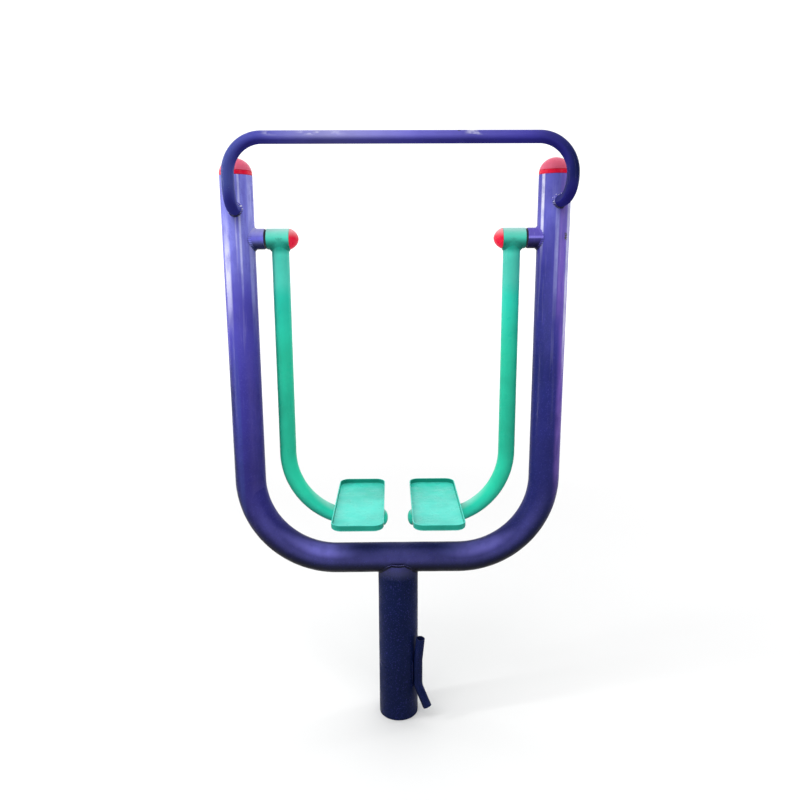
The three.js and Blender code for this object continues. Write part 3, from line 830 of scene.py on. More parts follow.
def painted(shades, tone, underside_shade, shade_from=-0.8, roughness=0.3, specular=0.1, lit_top_share=0.0):
    """Gloss paint on steel: faint clouds in its colour, painted shade on its undersides, painted light paling
    its tops, pale specks, an uneven gloss and the skin of sprayed paint."""
    upwards = shades.facing("Z")
    # Painted shade darkens the faces that look down.
    shade = shades.ramp(upwards, shade_from, 0.25, underside_shade, 1.0)
    tone = shades.scaled(tone, shades.times(shades.clouds(9, 0.35, 0.65, 0.88, 1.05, detail=4), shade))
    # Painted light pales the faces that look up.
    tone = shades.mix(shades.ramp(upwards, 0.4, 0.95, 0.0, lit_top_share), tone, SPECKS_AND_LIT_TOPS)
    shades.give("Base Color", shades.mix(shades.clouds(420, 0.7, 0.78, 0.0, 0.1, detail=2), tone, SPECKS_AND_LIT_TOPS))
    shades.give("Roughness", shades.times(shades.clouds(26, 0.3, 0.7, 0.7, 1.6, detail=5), roughness))
    shades.give("Specular IOR Level", specular)
    shades.bump(shades.noise(170, detail=2), PAINT_SKIN)
    return shades.material


def frame_paint(name, finish, speckle=0.0):
    """Violet paint, darker towards the bottom, partly where the sun has bleached it less and partly as
    painted shade, with painted shadow on the right post, painted highlights low on the frame, painted light
    and shade on the stubs, streaks of painted reflection, highlight and shade along the posts, pale grain,
    pale specks on the welds and a chip in the right post."""
    violet, purple, navy = tuple(finish.violet), tuple(finish.purple), tuple(finish.navy)
    shades = Shades(name)
    across, height = shades.axis("X"), shades.axis("Z")
    # Darker towards the bottom: partly paint that the sun has bleached less, partly painted shade.
    tone = shades.by_height((
        (0, navy), (GROUND_POST_TOP - FRAME_RADIUS, navy),
        (GROUND_POST_TOP - FRAME_RADIUS / 2, paler(DUSK, 0.02)), (FRAME_BOTTOM, DUSK),
        (0.45 * POST_TOP, blend(purple, violet, 0.2)), (0.62 * POST_TOP, blend(purple, violet, 0.35)),
        (0.8 * POST_TOP, blend(purple, violet, 0.8)), (POST_TOP, violet),
    ))
    # Painted shadow on the right post and the frame beside it, weaker higher up.
    shadow = shades.times(
        shades.ramp(across, POST_PLACE, POST_PLACE + FRAME_RADIUS, 1.0, 0.0),
        shades.ramp(across, POST_PLACE / 2, POST_PLACE), shades.ramp(height, *SHADOW_SPAN, 0.52, 0.12),
    )
    tone = shades.mix(shadow, tone, SHADED)
    # Painted highlight on the faces that the lower frame's bends and bottom turn up to the front.
    tone = shades.mix(glare(shades, across, height), tone, GLARE)
    # Painted light and shade on the stubs, graded from their undersides to their tops, the right one darker.
    up_stub = shades.ramp(height, AXLE_HEIGHT - HUB_RADIUS, AXLE_HEIGHT + HUB_RADIUS, smooth=False)
    on_left = shades.math("LESS_THAN", across, 0.0)
    stub = shades.mix(on_left, shades.grade(up_stub, RIGHT_STUB_LIGHT_AND_SHADE), shades.grade(up_stub, LEFT_STUB_LIGHT_AND_SHADE))
    tone = shades.mix(on_stub(shades, across, height), tone, stub)
    # Streaks of painted reflection, highlight and shade on the posts' front faces, broken up by clouds
    breaks = shades.clouds(75, 0.36, 0.56, 0.6, 1.0, detail=4, stretch=(1, 1, 0.22))
    front = shades.times(breaks, shades.ramp(shades.facing("Y"), 0.0, 0.2, 1.0, 0.0))
    for place, streaks in ((-POST_PLACE, LEFT_POST_REFLECTIONS_AND_SHADE), (POST_PLACE, RIGHT_POST_REFLECTIONS_AND_SHADE)):
        sideways = shades.math("SUBTRACT", across, place)
        angle = shades.math("ARCTAN2", sideways, shades.times(shades.axis("Y"), -1.0))
        on_post = shades.times(front, shades.math("LESS_THAN", from_post(shades, sideways), POST_REACH))
        for start, end, low, high, share, colour in streaks:
            edge = math.radians(max(LEAST_EDGE, (end - start) * EDGE_SHARE))
            band = shades.between(angle, math.radians(start), math.radians(end), edge)
            upright = shades.between(height, low, high, STREAK_FADE)
            tone = shades.mix(shades.times(band, upright, on_post, share), tone, colour)
    grain = shades.clouds(110, 0.56, 0.72, stretch=(1, 1, 0.05))
    grain = shades.times(grain, shades.ramp(height, *GRAIN_SPAN, 0.0, 0.14))
    tone = shades.mix(grain, tone, paler(violet, 0.45))
    tone = shades.mix(shades.clouds(240, 0.54, 0.7, 0.0, 0.2), tone, violet)
    # Pale specks on the welds: partly bare weld metal and partly painted glints, stronger higher up.
    if speckle:
        bright = shades.times(shades.clouds(260, 0.5, 0.62), shades.clouds(60, 0.36, 0.5))
        lit = shades.ramp(height, *SPECKLE_SPAN, speckle * 0.15, speckle)
        tone = shades.mix(shades.times(bright, lit), tone, paler(violet, 0.75))
    tone = shades.mix(shades.spot(*CHIP), tone, CHIPPED)
    gloss = shades.ramp(height, *GLOSS_SPAN, 0.34, 0.2)
    return painted(shades, tone, underside_shade=0.1, shade_from=-0.6, roughness=gloss, specular=0.05)


def glare(shades, across, height):
    """How much painted highlight the lower frame's bends and bottom get on faces turned up to the front."""
    sideways = shades.math("ABSOLUTE", across)
    share = 0.0
    for direction, most, (near, far) in SUNLIT_FACES:
        towards = shades.vector("DOT_PRODUCT", shades.normal, Vector(direction).normalized(), "Value")
        facing = shades.ramp(towards, SUNLIT_SPREAD, 1.0, 0.0, most)
        here = shades.ramp(sideways, *BEND_SPAN, near, far)
        share = shades.math("ADD", share, shades.times(facing, here))
    return shades.times(
        share, shades.clouds(30, 0.3, 0.6, 0.75, 1.0, detail=5),
        shades.ramp(height, FRAME_UNDERSIDE, FRAME_BOTTOM), shades.ramp(height, *GLARE_TOP, 1.0, 0.0),
    )


def on_stub(shades, across, height):
    """One on the stubs that stand out from the posts' inner sides, and zero elsewhere."""
    inward = shades.math("SUBTRACT", shades.math("ABSOLUTE", across), POST_PLACE)
    beside = shades.math("ABSOLUTE", shades.math("SUBTRACT", height, AXLE_HEIGHT))
    return shades.times(
        shades.math("GREATER_THAN", from_post(shades, inward), POST_REACH),
        shades.math("LESS_THAN", beside, STUB_REACH),
    )


def from_post(shades, sideways):
    """The square of the distance from a post's axis, from how far sideways of it a spot is."""
    return shades.math(
        "ADD", shades.math("POWER", sideways, 2.0), shades.math("POWER", shades.axis("Y"), 2.0),
    )


def rail_paint(name, finish):
    """The handrail's violet paint: worn pale on top where hands slide, deeper towards the right, and a deeper
    violet on its underside as painted shade.
    """
    violet, purple, navy = tuple(finish.violet), tuple(finish.purple), tuple(finish.navy)
    shades = Shades(name)
    across, upwards = shades.axis("X"), shades.facing("Z")
    tone = shades.grade(shades.ramp(across, rail_low.x, rail_high.x, smooth=False), (
        (0, RAIL_END), (0.1, blend(SLATE, violet, 0.6)), (0.3, paler(violet, 0.2)),
        (0.55, paler(violet, 0.05)), (0.85, blend(purple, violet, 0.5)), (1, navy),
    ))
    # Painted shade: the faces that look down turn a deeper violet.
    tone = shades.mix(shades.ramp(upwards, -0.6, 0.1, 0.55, 0.0), tone, UNDERSIDE_SHADE_VIOLET)
    worn = 0.0
    for low, high, strength in WORN_STRETCHES:
        worn = shades.math("MAXIMUM", worn, shades.between(across, low, high, (high - low) / 3, strength))
    smudges = shades.clouds(90, 0.48, 0.62, detail=6, stretch=(0.35, 1, 1))
    wear = shades.times(worn, smudges, shades.ramp(shades.axis("Z"), *WORN_TOP))
    tone = shades.mix(wear, tone, paler(violet, 0.5))
    tone = shades.mix(shades.spot(*NICK), tone, darker(navy, 0.5))
    gloss = shades.ramp(upwards, -0.6, -0.1, 0.9, 0.16)
    return painted(shades, tone, underside_shade=0.31, shade_from=-0.65, roughness=gloss, specular=0.04)


def green_paint(name, finish):
    """The paint of the arms and hubs: darker along the middle of the arms and fresh below the hubs, with
    painted shade on the hubs' lower halves and on the left arm's outer side, and painted light on the hubs'
    tops.
    """
    green = tuple(finish.green)
    leafy = (green[0], green[1], green[2] * 0.86)
    shades = Shades(name)
    # Darker along the middle of the arms and fresh below the hubs; painted shade on the hubs' lower halves
    # and painted light paling their tops.
    tone = shades.by_height((
        (0.38 * POST_TOP, green), (0.46 * POST_TOP, darker(leafy, 0.95)),
        (0.56 * POST_TOP, darker(leafy, 0.72)), (0.7 * POST_TOP, darker(leafy, 0.85)),
        (0.8 * POST_TOP, green), (0.825 * POST_TOP, FRESH_GREEN),
        (0.872 * POST_TOP, FRESH_GREEN), (AXLE_HEIGHT - HUB_RADIUS, darker(green, 0.55)),
        (AXLE_HEIGHT - HUB_RADIUS / 2, darker(green, 0.65)), (AXLE_HEIGHT, paler(green, 0.05)),
        (AXLE_HEIGHT + HUB_RADIUS / 3, paler(green, 0.1)), (AXLE_HEIGHT + HUB_RADIUS, paler(green, 0.2)),
    ))
    # Painted shade on the left arm's outer side and painted light on its inner side.
    outwards = shades.ramp(shades.facing("X"), -1.0, 0.4, 0.72, 1.08)
    on_left = shades.math("LESS_THAN", shades.axis("X"), 0.0)
    tone = shades.mix(on_left, tone, shades.scaled(tone, outwards))
    return painted(shades, tone, underside_shade=0.4, lit_top_share=0.35)


def tread_paint(name, finish, tread_height):
    """The pedals' paint: paler at the front and darker towards the back in clouds, with painted shade on
    upright faces.
    """
    shades = Shades(name)
    # Darker towards the back, broken up by clouds.
    darker_back = shades.times(
        shades.ramp(shades.axis("Y"), DARKENING_START, pedal_high.y, 0.0, 0.8),
        shades.clouds(38, 0.4, 0.66, 0.3, 1.0, detail=5),
    )
    above = shades.math("ABSOLUTE", shades.math("SUBTRACT", shades.axis("Z"), tread_height))
    # Painted shade on upright faces, such as the rims' sides, kept off the tread's own height.
    upright = shades.ramp(shades.facing("Z"), 0.2, 0.8, 1.0, 0.0)
    sides = shades.times(upright, shades.ramp(above, *TREAD_MARGIN))
    tone = shades.mix(darker_back, tuple(finish.pale_green), tuple(finish.green))
    return painted(shades, shades.mix(sides, tone, darker(finish.green, 0.47)), underside_shade=0.9)


def plastic(name, colour, top_colour, top_from, top_to):
    """Moulded plastic, paler towards its top: faded on the post caps, a painted highlight on the hub caps."""
    shades = Shades(name)
    paled = shades.ramp(shades.axis("Z"), top_from, top_to)
    blotches = shades.clouds(60, 0.35, 0.7, 0.88, 1.0)
    shades.give("Base Color", shades.mix(shades.times(paled, blotches), tuple(colour), tuple(top_colour)))
    shades.give("Roughness", shades.clouds(90, 0.3, 0.7, 0.22, 0.42, detail=4))
    shades.give("Specular IOR Level", 0.15)
    shades.bump(shades.noise(700, detail=2), DULL_SKIN)
    return shades.material


def rubber(name):
    """Black rubber with a dull, dusty skin."""
    shades = Shades(name)
    dust = shades.clouds(80, 0.45, 0.75, detail=5)
    shades.give("Base Color", shades.mix(dust, (0.008, 0.008, 0.01), (0.035, 0.034, 0.033)))
    shades.give("Roughness", 0.72)
    shades.bump(shades.noise(900, detail=2), DULL_SKIN, 0.4)
    return shades.material


def steel(name, colour, roughness, brush):
    """Bare or plated steel, with fine marks round its axis along X."""
    shades = Shades(name)
    marks = shades.noise(brush, detail=4, stretch=(1, 0.06, 0.06))
    shades.give("Metallic", 1.0)
    shades.give("Base Color", shades.mix(shades.ramp(marks, 0.3, 0.7), darker(colour, 0.8), colour))
    shades.give("Roughness", shades.ramp(marks, 0.3, 0.7, roughness * 0.8, roughness * 1.3))
    shades.bump(marks, BRUSHED_SKIN)
    return shades.material


def violet_paint(settings):
    """The frame's paint."""
    return material("violet_gloss", frame_paint, settings.finish)


def weld_paint(settings):
    """The frame's paint on rough weld metal, with pale specks: partly bare metal, partly painted glints."""
    return material("violet_weld", frame_paint, settings.finish, 0.8)


def arm_paint(settings):
    """The arms' paint."""
    return material("green_gloss", green_paint, settings.finish)


# Operators, one for each piece or group of like pieces

# How far a post cap's dome is drawn in towards a cone, the rounding of a pedal's rim as a share of the edge
# rounding and of a rib as a share of its height, how many heights wide a rib is, the steps of a pedal's and a
# saddle's corners, how much a painted highlight pales a hub cap's top, and how many rounds the bead on the
# ground post's head takes to find its place
CAP_CONE_SHARE = 0.12
RIM_ROUND_SHARE = 0.9
RIB_ROUND_SHARE = 0.8
RIB_HEIGHTS_WIDE = 10
PEDAL_CORNER_STEPS = 12
SADDLE_CORNER_STEPS = 6
HUB_CAP_HIGHLIGHT = 0.35
HEAD_BEAD_ROUNDS = 12


class AIRWALKER_OT_frame_tube(bpy.types.Operator):
    """Bends the frame: one tube, two posts and the round bottom between them"""

    bl_idname = "airwalker.frame_tube"
    bl_label = "Frame tube"

    def execute(self, context):
        settings = context.scene.air_walker
        sizes = settings.frame
        post_length = POST_TOP - FRAME_BOTTOM - sizes.bend_radius
        bend = Bend(sizes.bend_radius, QUARTER_TURN, -BACK)
        tube = bent_tube(
            "frame_tube", FRAME_RADIUS, sizes.wall, Vector((-POST_PLACE, 0, POST_TOP)), -UP,
            (post_length, bend, 2 * (POST_PLACE - sizes.bend_radius), bend, post_length), WIDE_SIDES,
        )
        dress(tube, FRAME_BODY, "frame_paint", violet_paint(settings), "u_frame")
        return {"FINISHED"}


class AIRWALKER_OT_ground_post(bpy.types.Operator):
    """Turns the ground post, and hollows its head to cradle the frame"""

    bl_idname = "airwalker.ground_post"
    bl_label = "Ground post"

    def execute(self, context):
        settings = context.scene.air_walker
        sizes = settings.frame
        bore = GROUND_POST_RADIUS - sizes.ground_wall
        ceiling = FRAME_UNDERSIDE - sizes.head_thickness
        profile = (
            (0, ceiling), (bore, ceiling), (bore, 0), (GROUND_POST_RADIUS, 0),
            (GROUND_POST_RADIUS, FRAME_UNDERSIDE - sizes.head_drop),
            (sizes.head_top_radius, GROUND_POST_TOP), (0, GROUND_POST_TOP),
        )
        post = turned("ground_post_tube", profile, Vector(), UP, WIDE_SIDES)
        rounded(post, settings.arm.edge_round)
        half = RIGHT * (2 * GROUND_POST_RADIUS)
        middle = UP * FRAME_BOTTOM
        combine(post, cylinder("cradle", FRAME_RADIUS, middle - half, middle + half))
        dress(post, FRAME_BODY, "frame_paint", violet_paint(settings), "ground_post")
        return {"FINISHED"}


class AIRWALKER_OT_anchor_tube(bpy.types.Operator):
    """Bends the anchor tube that stands against the ground post"""

    bl_idname = "airwalker.anchor_tube"
    bl_label = "Anchor tube"

    def execute(self, context):
        settings = context.scene.air_walker
        sizes = settings.anchor
        outward = Quaternion(UP, sizes.bearing) @ RIGHT
        hinge = outward.cross(UP)
        neck_heading = Quaternion(hinge, -sizes.lean) @ -UP
        axis_offset = GROUND_POST_RADIUS + sizes.radius + sizes.bend_radius * (1 - math.cos(sizes.lean))
        start = outward * axis_offset + UP * (sizes.straight_top + sizes.bend_radius * math.sin(sizes.lean))
        start -= neck_heading * sizes.neck
        legs = (
            sizes.neck, Bend(sizes.bend_radius, sizes.lean, hinge),
            sizes.straight_top - sizes.straight_bottom,
            Bend(sizes.bend_radius, sizes.tail_angle, hinge), sizes.tail,
        )
        tube = bent_tube("anchor_pipe", sizes.radius, sizes.wall, start, neck_heading, legs, THIN_SIDES)
        rounded(tube, sizes.wall / 6, segments=2)
        dress(tube, FRAME_BODY, "frame_paint", violet_paint(settings), "anchor_tube")
        return {"FINISHED"}


class Hook(NamedTuple):
    """One end of the handrail: where it would meet its post's middle, its heading there and its length."""

    end: Vector
    heading: Vector
    length: float


def hooks(sizes):
    """The handrail's left and right hooks, worked out from its settings and the frame."""
    reach = -(rail_low.y + sizes.radius)
    legs_top = rail_high.z - sizes.radius - sizes.corner_radius
    made = []
    for sign, leg_place, leg, inset in (
        (-1, rail_low.x + sizes.radius, sizes.left_leg, sizes.left_inset),
        (1, rail_high.x - sizes.radius, sizes.right_leg, sizes.right_inset),
    ):
        toe_in = math.atan2(sign * leg_place - POST_PLACE + inset, reach)
        heading = Quaternion(UP, sign * toe_in) @ BACK
        length = reach / math.cos(toe_in)
        foot = Vector((leg_place, -reach, legs_top - sizes.hook_radius - leg))
        made.append(Hook(foot + heading * length, heading, length))
    return made


class AIRWALKER_OT_handrail(bpy.types.Operator):
    """Bends the handrail and cuts its ends to fit the posts"""

    bl_idname = "airwalker.handrail"
    bl_label = "Handrail"

    def execute(self, context):
        settings = context.scene.air_walker
        sizes = settings.handrail
        left, right = hooks(sizes)
        corner = Bend(sizes.corner_radius, QUARTER_TURN, BACK)
        bar_length = rail_high.x - rail_low.x - 2 * (sizes.radius + sizes.corner_radius)
        legs = (
            left.length - sizes.hook_radius, Bend(sizes.hook_radius, QUARTER_TURN, UP.cross(left.heading)),
            sizes.left_leg, corner, bar_length, corner, sizes.right_leg,
            Bend(sizes.hook_radius, QUARTER_TURN, right.heading.cross(UP)), right.length - sizes.hook_radius,
        )
        rail = bent_tube("handrail_tube", sizes.radius, sizes.wall, left.end, -left.heading, legs)
        for place in (-POST_PLACE, POST_PLACE):
            fit_to_post(rail, place)
        paint = material("rail_gloss", rail_paint, settings.finish)
        dress(rail, FRAME_BODY, "frame_paint", paint, "handrail")
        return {"FINISHED"}


class AIRWALKER_OT_post_caps(bpy.types.Operator):
    """Turns the domed plastic caps of the posts"""

    bl_idname = "airwalker.post_caps"
    bl_label = "Post caps"

    def execute(self, context):
        settings = context.scene.air_walker
        sizes = settings.frame
        band_top = POST_TOP + sizes.cap_band
        plug = FRAME_RADIUS - sizes.wall
        inner = plug - sizes.cap_wall
        outside = dome(FRAME_RADIUS - sizes.cap_step, band_top, sizes.cap_dome, CAP_CONE_SHARE)
        inside = dome(inner, band_top, sizes.cap_dome - sizes.cap_wall, CAP_CONE_SHARE)
        gap = sizes.cap_groove
        lip = FRAME_RADIUS - gap
        profile = (
            (inner, CAP_FOOT), (plug, CAP_FOOT), (plug, POST_TOP), (lip, POST_TOP), (lip, POST_TOP + gap),
            (FRAME_RADIUS, POST_TOP + gap), (FRAME_RADIUS, band_top - gap), (lip - gap, band_top - gap),
            (lip - gap, band_top), *outside, *inside[-2::-1], (inner, CAP_FOOT),
        )
        cap = turned("right_post_dome", profile, RIGHT * POST_PLACE, UP, CAP_SIDES)
        rounded(cap, settings.arm.edge_round / 2, segments=2)
        finish = material(
            "post_cap_plastic", plastic, settings.finish.red, settings.finish.faded_red,
            band_top - gap, band_top + gap,
        )
        dress_both(cap, "post_dome", FIXED, "red_plastic", finish, "post_cap")
        return {"FINISHED"}


class AIRWALKER_OT_axle_stubs(bpy.types.Operator):
    """Turns the short tubes that carry the axles, and fits them to the posts"""

    bl_idname = "airwalker.axle_stubs"
    bl_label = "Axle stubs"

    def execute(self, context):
        settings = context.scene.air_walker
        bore = HUB_RADIUS - settings.arm.stub_wall
        profile = (
            (bore, STUB_END), (HUB_RADIUS, STUB_END), (HUB_RADIUS, POST_PLACE), (bore, POST_PLACE),
            (bore, STUB_END),
        )
        stub = turned("right_stub_tube", profile, AXLE, RIGHT)
        rounded(stub, settings.arm.edge_round)
        fit_to_post(stub, POST_PLACE)
        dress_both(stub, "stub_tube", FIXED, "frame_paint", violet_paint(settings), "axle_stub")
        return {"FINISHED"}


class AIRWALKER_OT_hubs(bpy.types.Operator):
    """Turns the hubs, with a bearing seat in each end"""

    bl_idname = "airwalker.hubs"
    bl_label = "Hubs"

    def execute(self, context):
        settings = context.scene.air_walker
        sizes = settings.arm
        inboard, outboard = hub_low.x, hub_high.x
        inner_seat, outer_seat = inboard + sizes.inboard_seat, outboard - sizes.outboard_seat
        profile = (
            (BEARING_RADIUS, inboard), (HUB_RADIUS, inboard), (HUB_RADIUS, outboard),
            (BEARING_RADIUS, outboard), (BEARING_RADIUS, outer_seat), (sizes.hub_waist, outer_seat),
            (sizes.hub_waist, inner_seat), (BEARING_RADIUS, inner_seat), (BEARING_RADIUS, inboard),
        )
        hub = turned("right_hub_sleeve", profile, AXLE, RIGHT, HUB_SIDES)
        rounded(hub, sizes.edge_round)
        dress_both(hub, "hub_sleeve", SWINGING, "arm_paint", arm_paint(settings), "hub")
        return {"FINISHED"}


class AIRWALKER_OT_dust_seals(bpy.types.Operator):
    """Turns the rubber seals between hubs and stubs, with a groove round each"""

    bl_idname = "airwalker.dust_seals"
    bl_label = "Dust seals"

    def execute(self, context):
        settings = context.scene.air_walker
        radius = seal_high.y
        base = seal_high.x - settings.arm.seal_thickness
        groove = settings.arm.seal_thickness / 4
        bore = AXLE_ROOT_RADIUS + groove / 2
        waist = radius - groove / 2
        profile = (
            (bore, seal_low.x), (BEARING_RADIUS, seal_low.x), (BEARING_RADIUS, base), (radius, base),
            (radius, base + groove), (waist, base + 1.5 * groove), (waist, base + 2.5 * groove),
            (radius, base + 3 * groove), (radius, seal_high.x), (bore, seal_high.x), (bore, seal_low.x),
        )
        seal = turned("right_seal_ring", profile, AXLE, RIGHT)
        rounded(seal, groove / 3, segments=2)
        dress_both(seal, "seal_ring", SWINGING, "black_rubber", material("dusty_rubber", rubber), "dust_seal")
        return {"FINISHED"}


class AIRWALKER_OT_hub_caps(bpy.types.Operator):
    """Turns the domed plastic caps on the hubs' inner ends"""

    bl_idname = "airwalker.hub_caps"
    bl_label = "Hub caps"

    def execute(self, context):
        settings = context.scene.air_walker
        sizes = settings.arm
        base, lip = hub_low.x, hub_cap_high.x
        height = base - hub_cap_low.x
        wall, gap = settings.frame.cap_wall, settings.frame.cap_groove
        inner = BEARING_RADIUS - wall
        outside = dome(HUB_RADIUS, base, -height, sizes.cone_share)
        inside = dome(inner, base, wall - height, sizes.cone_share)
        profile = (
            (BEARING_RADIUS, lip), (inner, lip), *inside, *outside[-2:0:-1], (HUB_RADIUS, base - gap),
            (HUB_RADIUS - gap, base - gap), (HUB_RADIUS - gap, base), (BEARING_RADIUS, base),
            (BEARING_RADIUS, lip),
        )
        cap = turned("right_hub_dome", profile, AXLE, RIGHT, CAP_SIDES)
        rounded(cap, sizes.edge_round / 2, segments=2)
        red = settings.finish.red
        # A painted highlight pales the tops of the hub caps.
        finish = material(
            "hub_cap_plastic", plastic, red, paler(red, HUB_CAP_HIGHLIGHT), AXLE_HEIGHT,
            AXLE_HEIGHT + HUB_RADIUS,
        )
        dress_both(cap, "hub_dome", SWINGING, "red_plastic", finish, "hub_cap")
        return {"FINISHED"}


class AIRWALKER_OT_arm_tubes(bpy.types.Operator):
    """Bends the arms, fits them to the hubs and closes their lower ends with domed plugs"""

    bl_idname = "airwalker.arm_tubes"
    bl_label = "Arm tubes"

    def execute(self, context):
        settings = context.scene.air_walker
        sizes = settings.arm
        legs = (
            AXLE_HEIGHT - RUN_HEIGHT - sizes.bend_radius, Bend(sizes.bend_radius, QUARTER_TURN, BACK),
            ARM_PLACE - sizes.bend_radius - arm_low.x,
        )
        tube = bent_tube("right_arm_pipe", ARM_RADIUS, sizes.wall, AXLE + RIGHT * ARM_PLACE, -UP, legs)
        inner, outer = AXLE + RIGHT * hub_low.x / 2, AXLE + RIGHT * POST_PLACE
        combine(tube, cylinder("hub_space", HUB_RADIUS, inner, outer))
        dress_both(tube, "arm_pipe", SWINGING, "arm_paint", arm_paint(settings), "arm_tube")
        bore, end = ARM_RADIUS - sizes.wall, arm_low.x
        outside = dome(ARM_RADIUS, end, plug_low.x - end)
        profile = (*outside[::-1], (bore, end), (bore, plug_high.x), (0, plug_high.x))
        plug = turned("right_end_dome", profile, UP * RUN_HEIGHT, RIGHT)
        rounded(plug, sizes.edge_round, segments=2)
        dress_both(plug, "end_dome", SWINGING, "arm_paint", arm_paint(settings), "arm_end_plug")
        return {"FINISHED"}


class AIRWALKER_OT_pedal_saddles(bpy.types.Operator):
    """Shapes the steel saddles that carry the pedals"""

    bl_idname = "airwalker.pedal_saddles"
    bl_label = "Pedal saddles"

    def execute(self, context):
        settings = context.scene.air_walker
        sizes = settings.arm
        saddle = close(
            block("right_saddle_block", saddle_low, saddle_high, sizes.pedal_edge, SADDLE_CORNER_STEPS),
        )
        rounded(saddle, sizes.edge_round)
        legs = (ARM_PLACE - sizes.bend_radius, Bend(sizes.bend_radius, QUARTER_TURN, -BACK))
        combine(saddle, bent_tube("run_space", ARM_RADIUS, 0, UP * RUN_HEIGHT, RIGHT, legs))
        dress_both(saddle, "saddle_block", SWINGING, "arm_paint", arm_paint(settings), "pedal_saddle")
        return {"FINISHED"}


class AIRWALKER_OT_pedals(bpy.types.Operator):
    """Presses the pedals: trays with a raised rim all round and low ribs across the tread"""

    bl_idname = "airwalker.pedals"
    bl_label = "Pedals"

    def execute(self, context):
        settings = context.scene.air_walker
        sizes = settings.arm
        middle, size = (pedal_low + pedal_high) / 2, pedal_high - pedal_low
        floor = pedal_low.z + sizes.pedal_sheet
        tray = block("right_pedal_tray", pedal_low, pedal_high, sizes.pedal_corner, PEDAL_CORNER_STEPS)
        pick(tray, "FACE", looks_up)
        bpy.ops.mesh.inset(thickness=sizes.pedal_sheet)
        bpy.ops.mesh.extrude_region_move(TRANSFORM_OT_translate={"value": -UP * (size.z - sizes.pedal_sheet)})
        pick(tray, "EDGE", at_height(floor))
        bpy.ops.mesh.bevel(offset=sizes.pedal_edge - sizes.pedal_sheet, segments=4, affect="EDGES")
        pick(tray, "EDGE", at_height(pedal_low.z))
        bpy.ops.mesh.bevel(offset=sizes.pedal_edge, segments=6, affect="EDGES")
        close(tray)
        rounded(tray, sizes.edge_round * RIM_ROUND_SHARE)
        spacing = (size.y - 2 * sizes.pedal_corner) / sizes.rib_count
        first = Vector((middle.x, middle.y - spacing * (sizes.rib_count - 1) / 2, floor))
        rib = (size.x - 2 * sizes.pedal_corner, RIB_HEIGHTS_WIDE * sizes.rib_height, 2 * sizes.rib_height)
        bpy.ops.mesh.primitive_cube_add(size=1, location=first, scale=rib)
        ribs = named("tread_ribs")
        rounded(ribs, sizes.rib_height * RIB_ROUND_SHARE)
        modify(
            ribs, "ARRAY", count=sizes.rib_count, use_relative_offset=False, use_constant_offset=True,
            constant_offset_displace=BACK * spacing,
        )
        combine(tray, ribs, "UNION")
        finish = material("pale_green_gloss", tread_paint, settings.finish, floor)
        dress_both(tray, "pedal_tray", SWINGING, "pedal_paint", finish, "pedal")
        return {"FINISHED"}


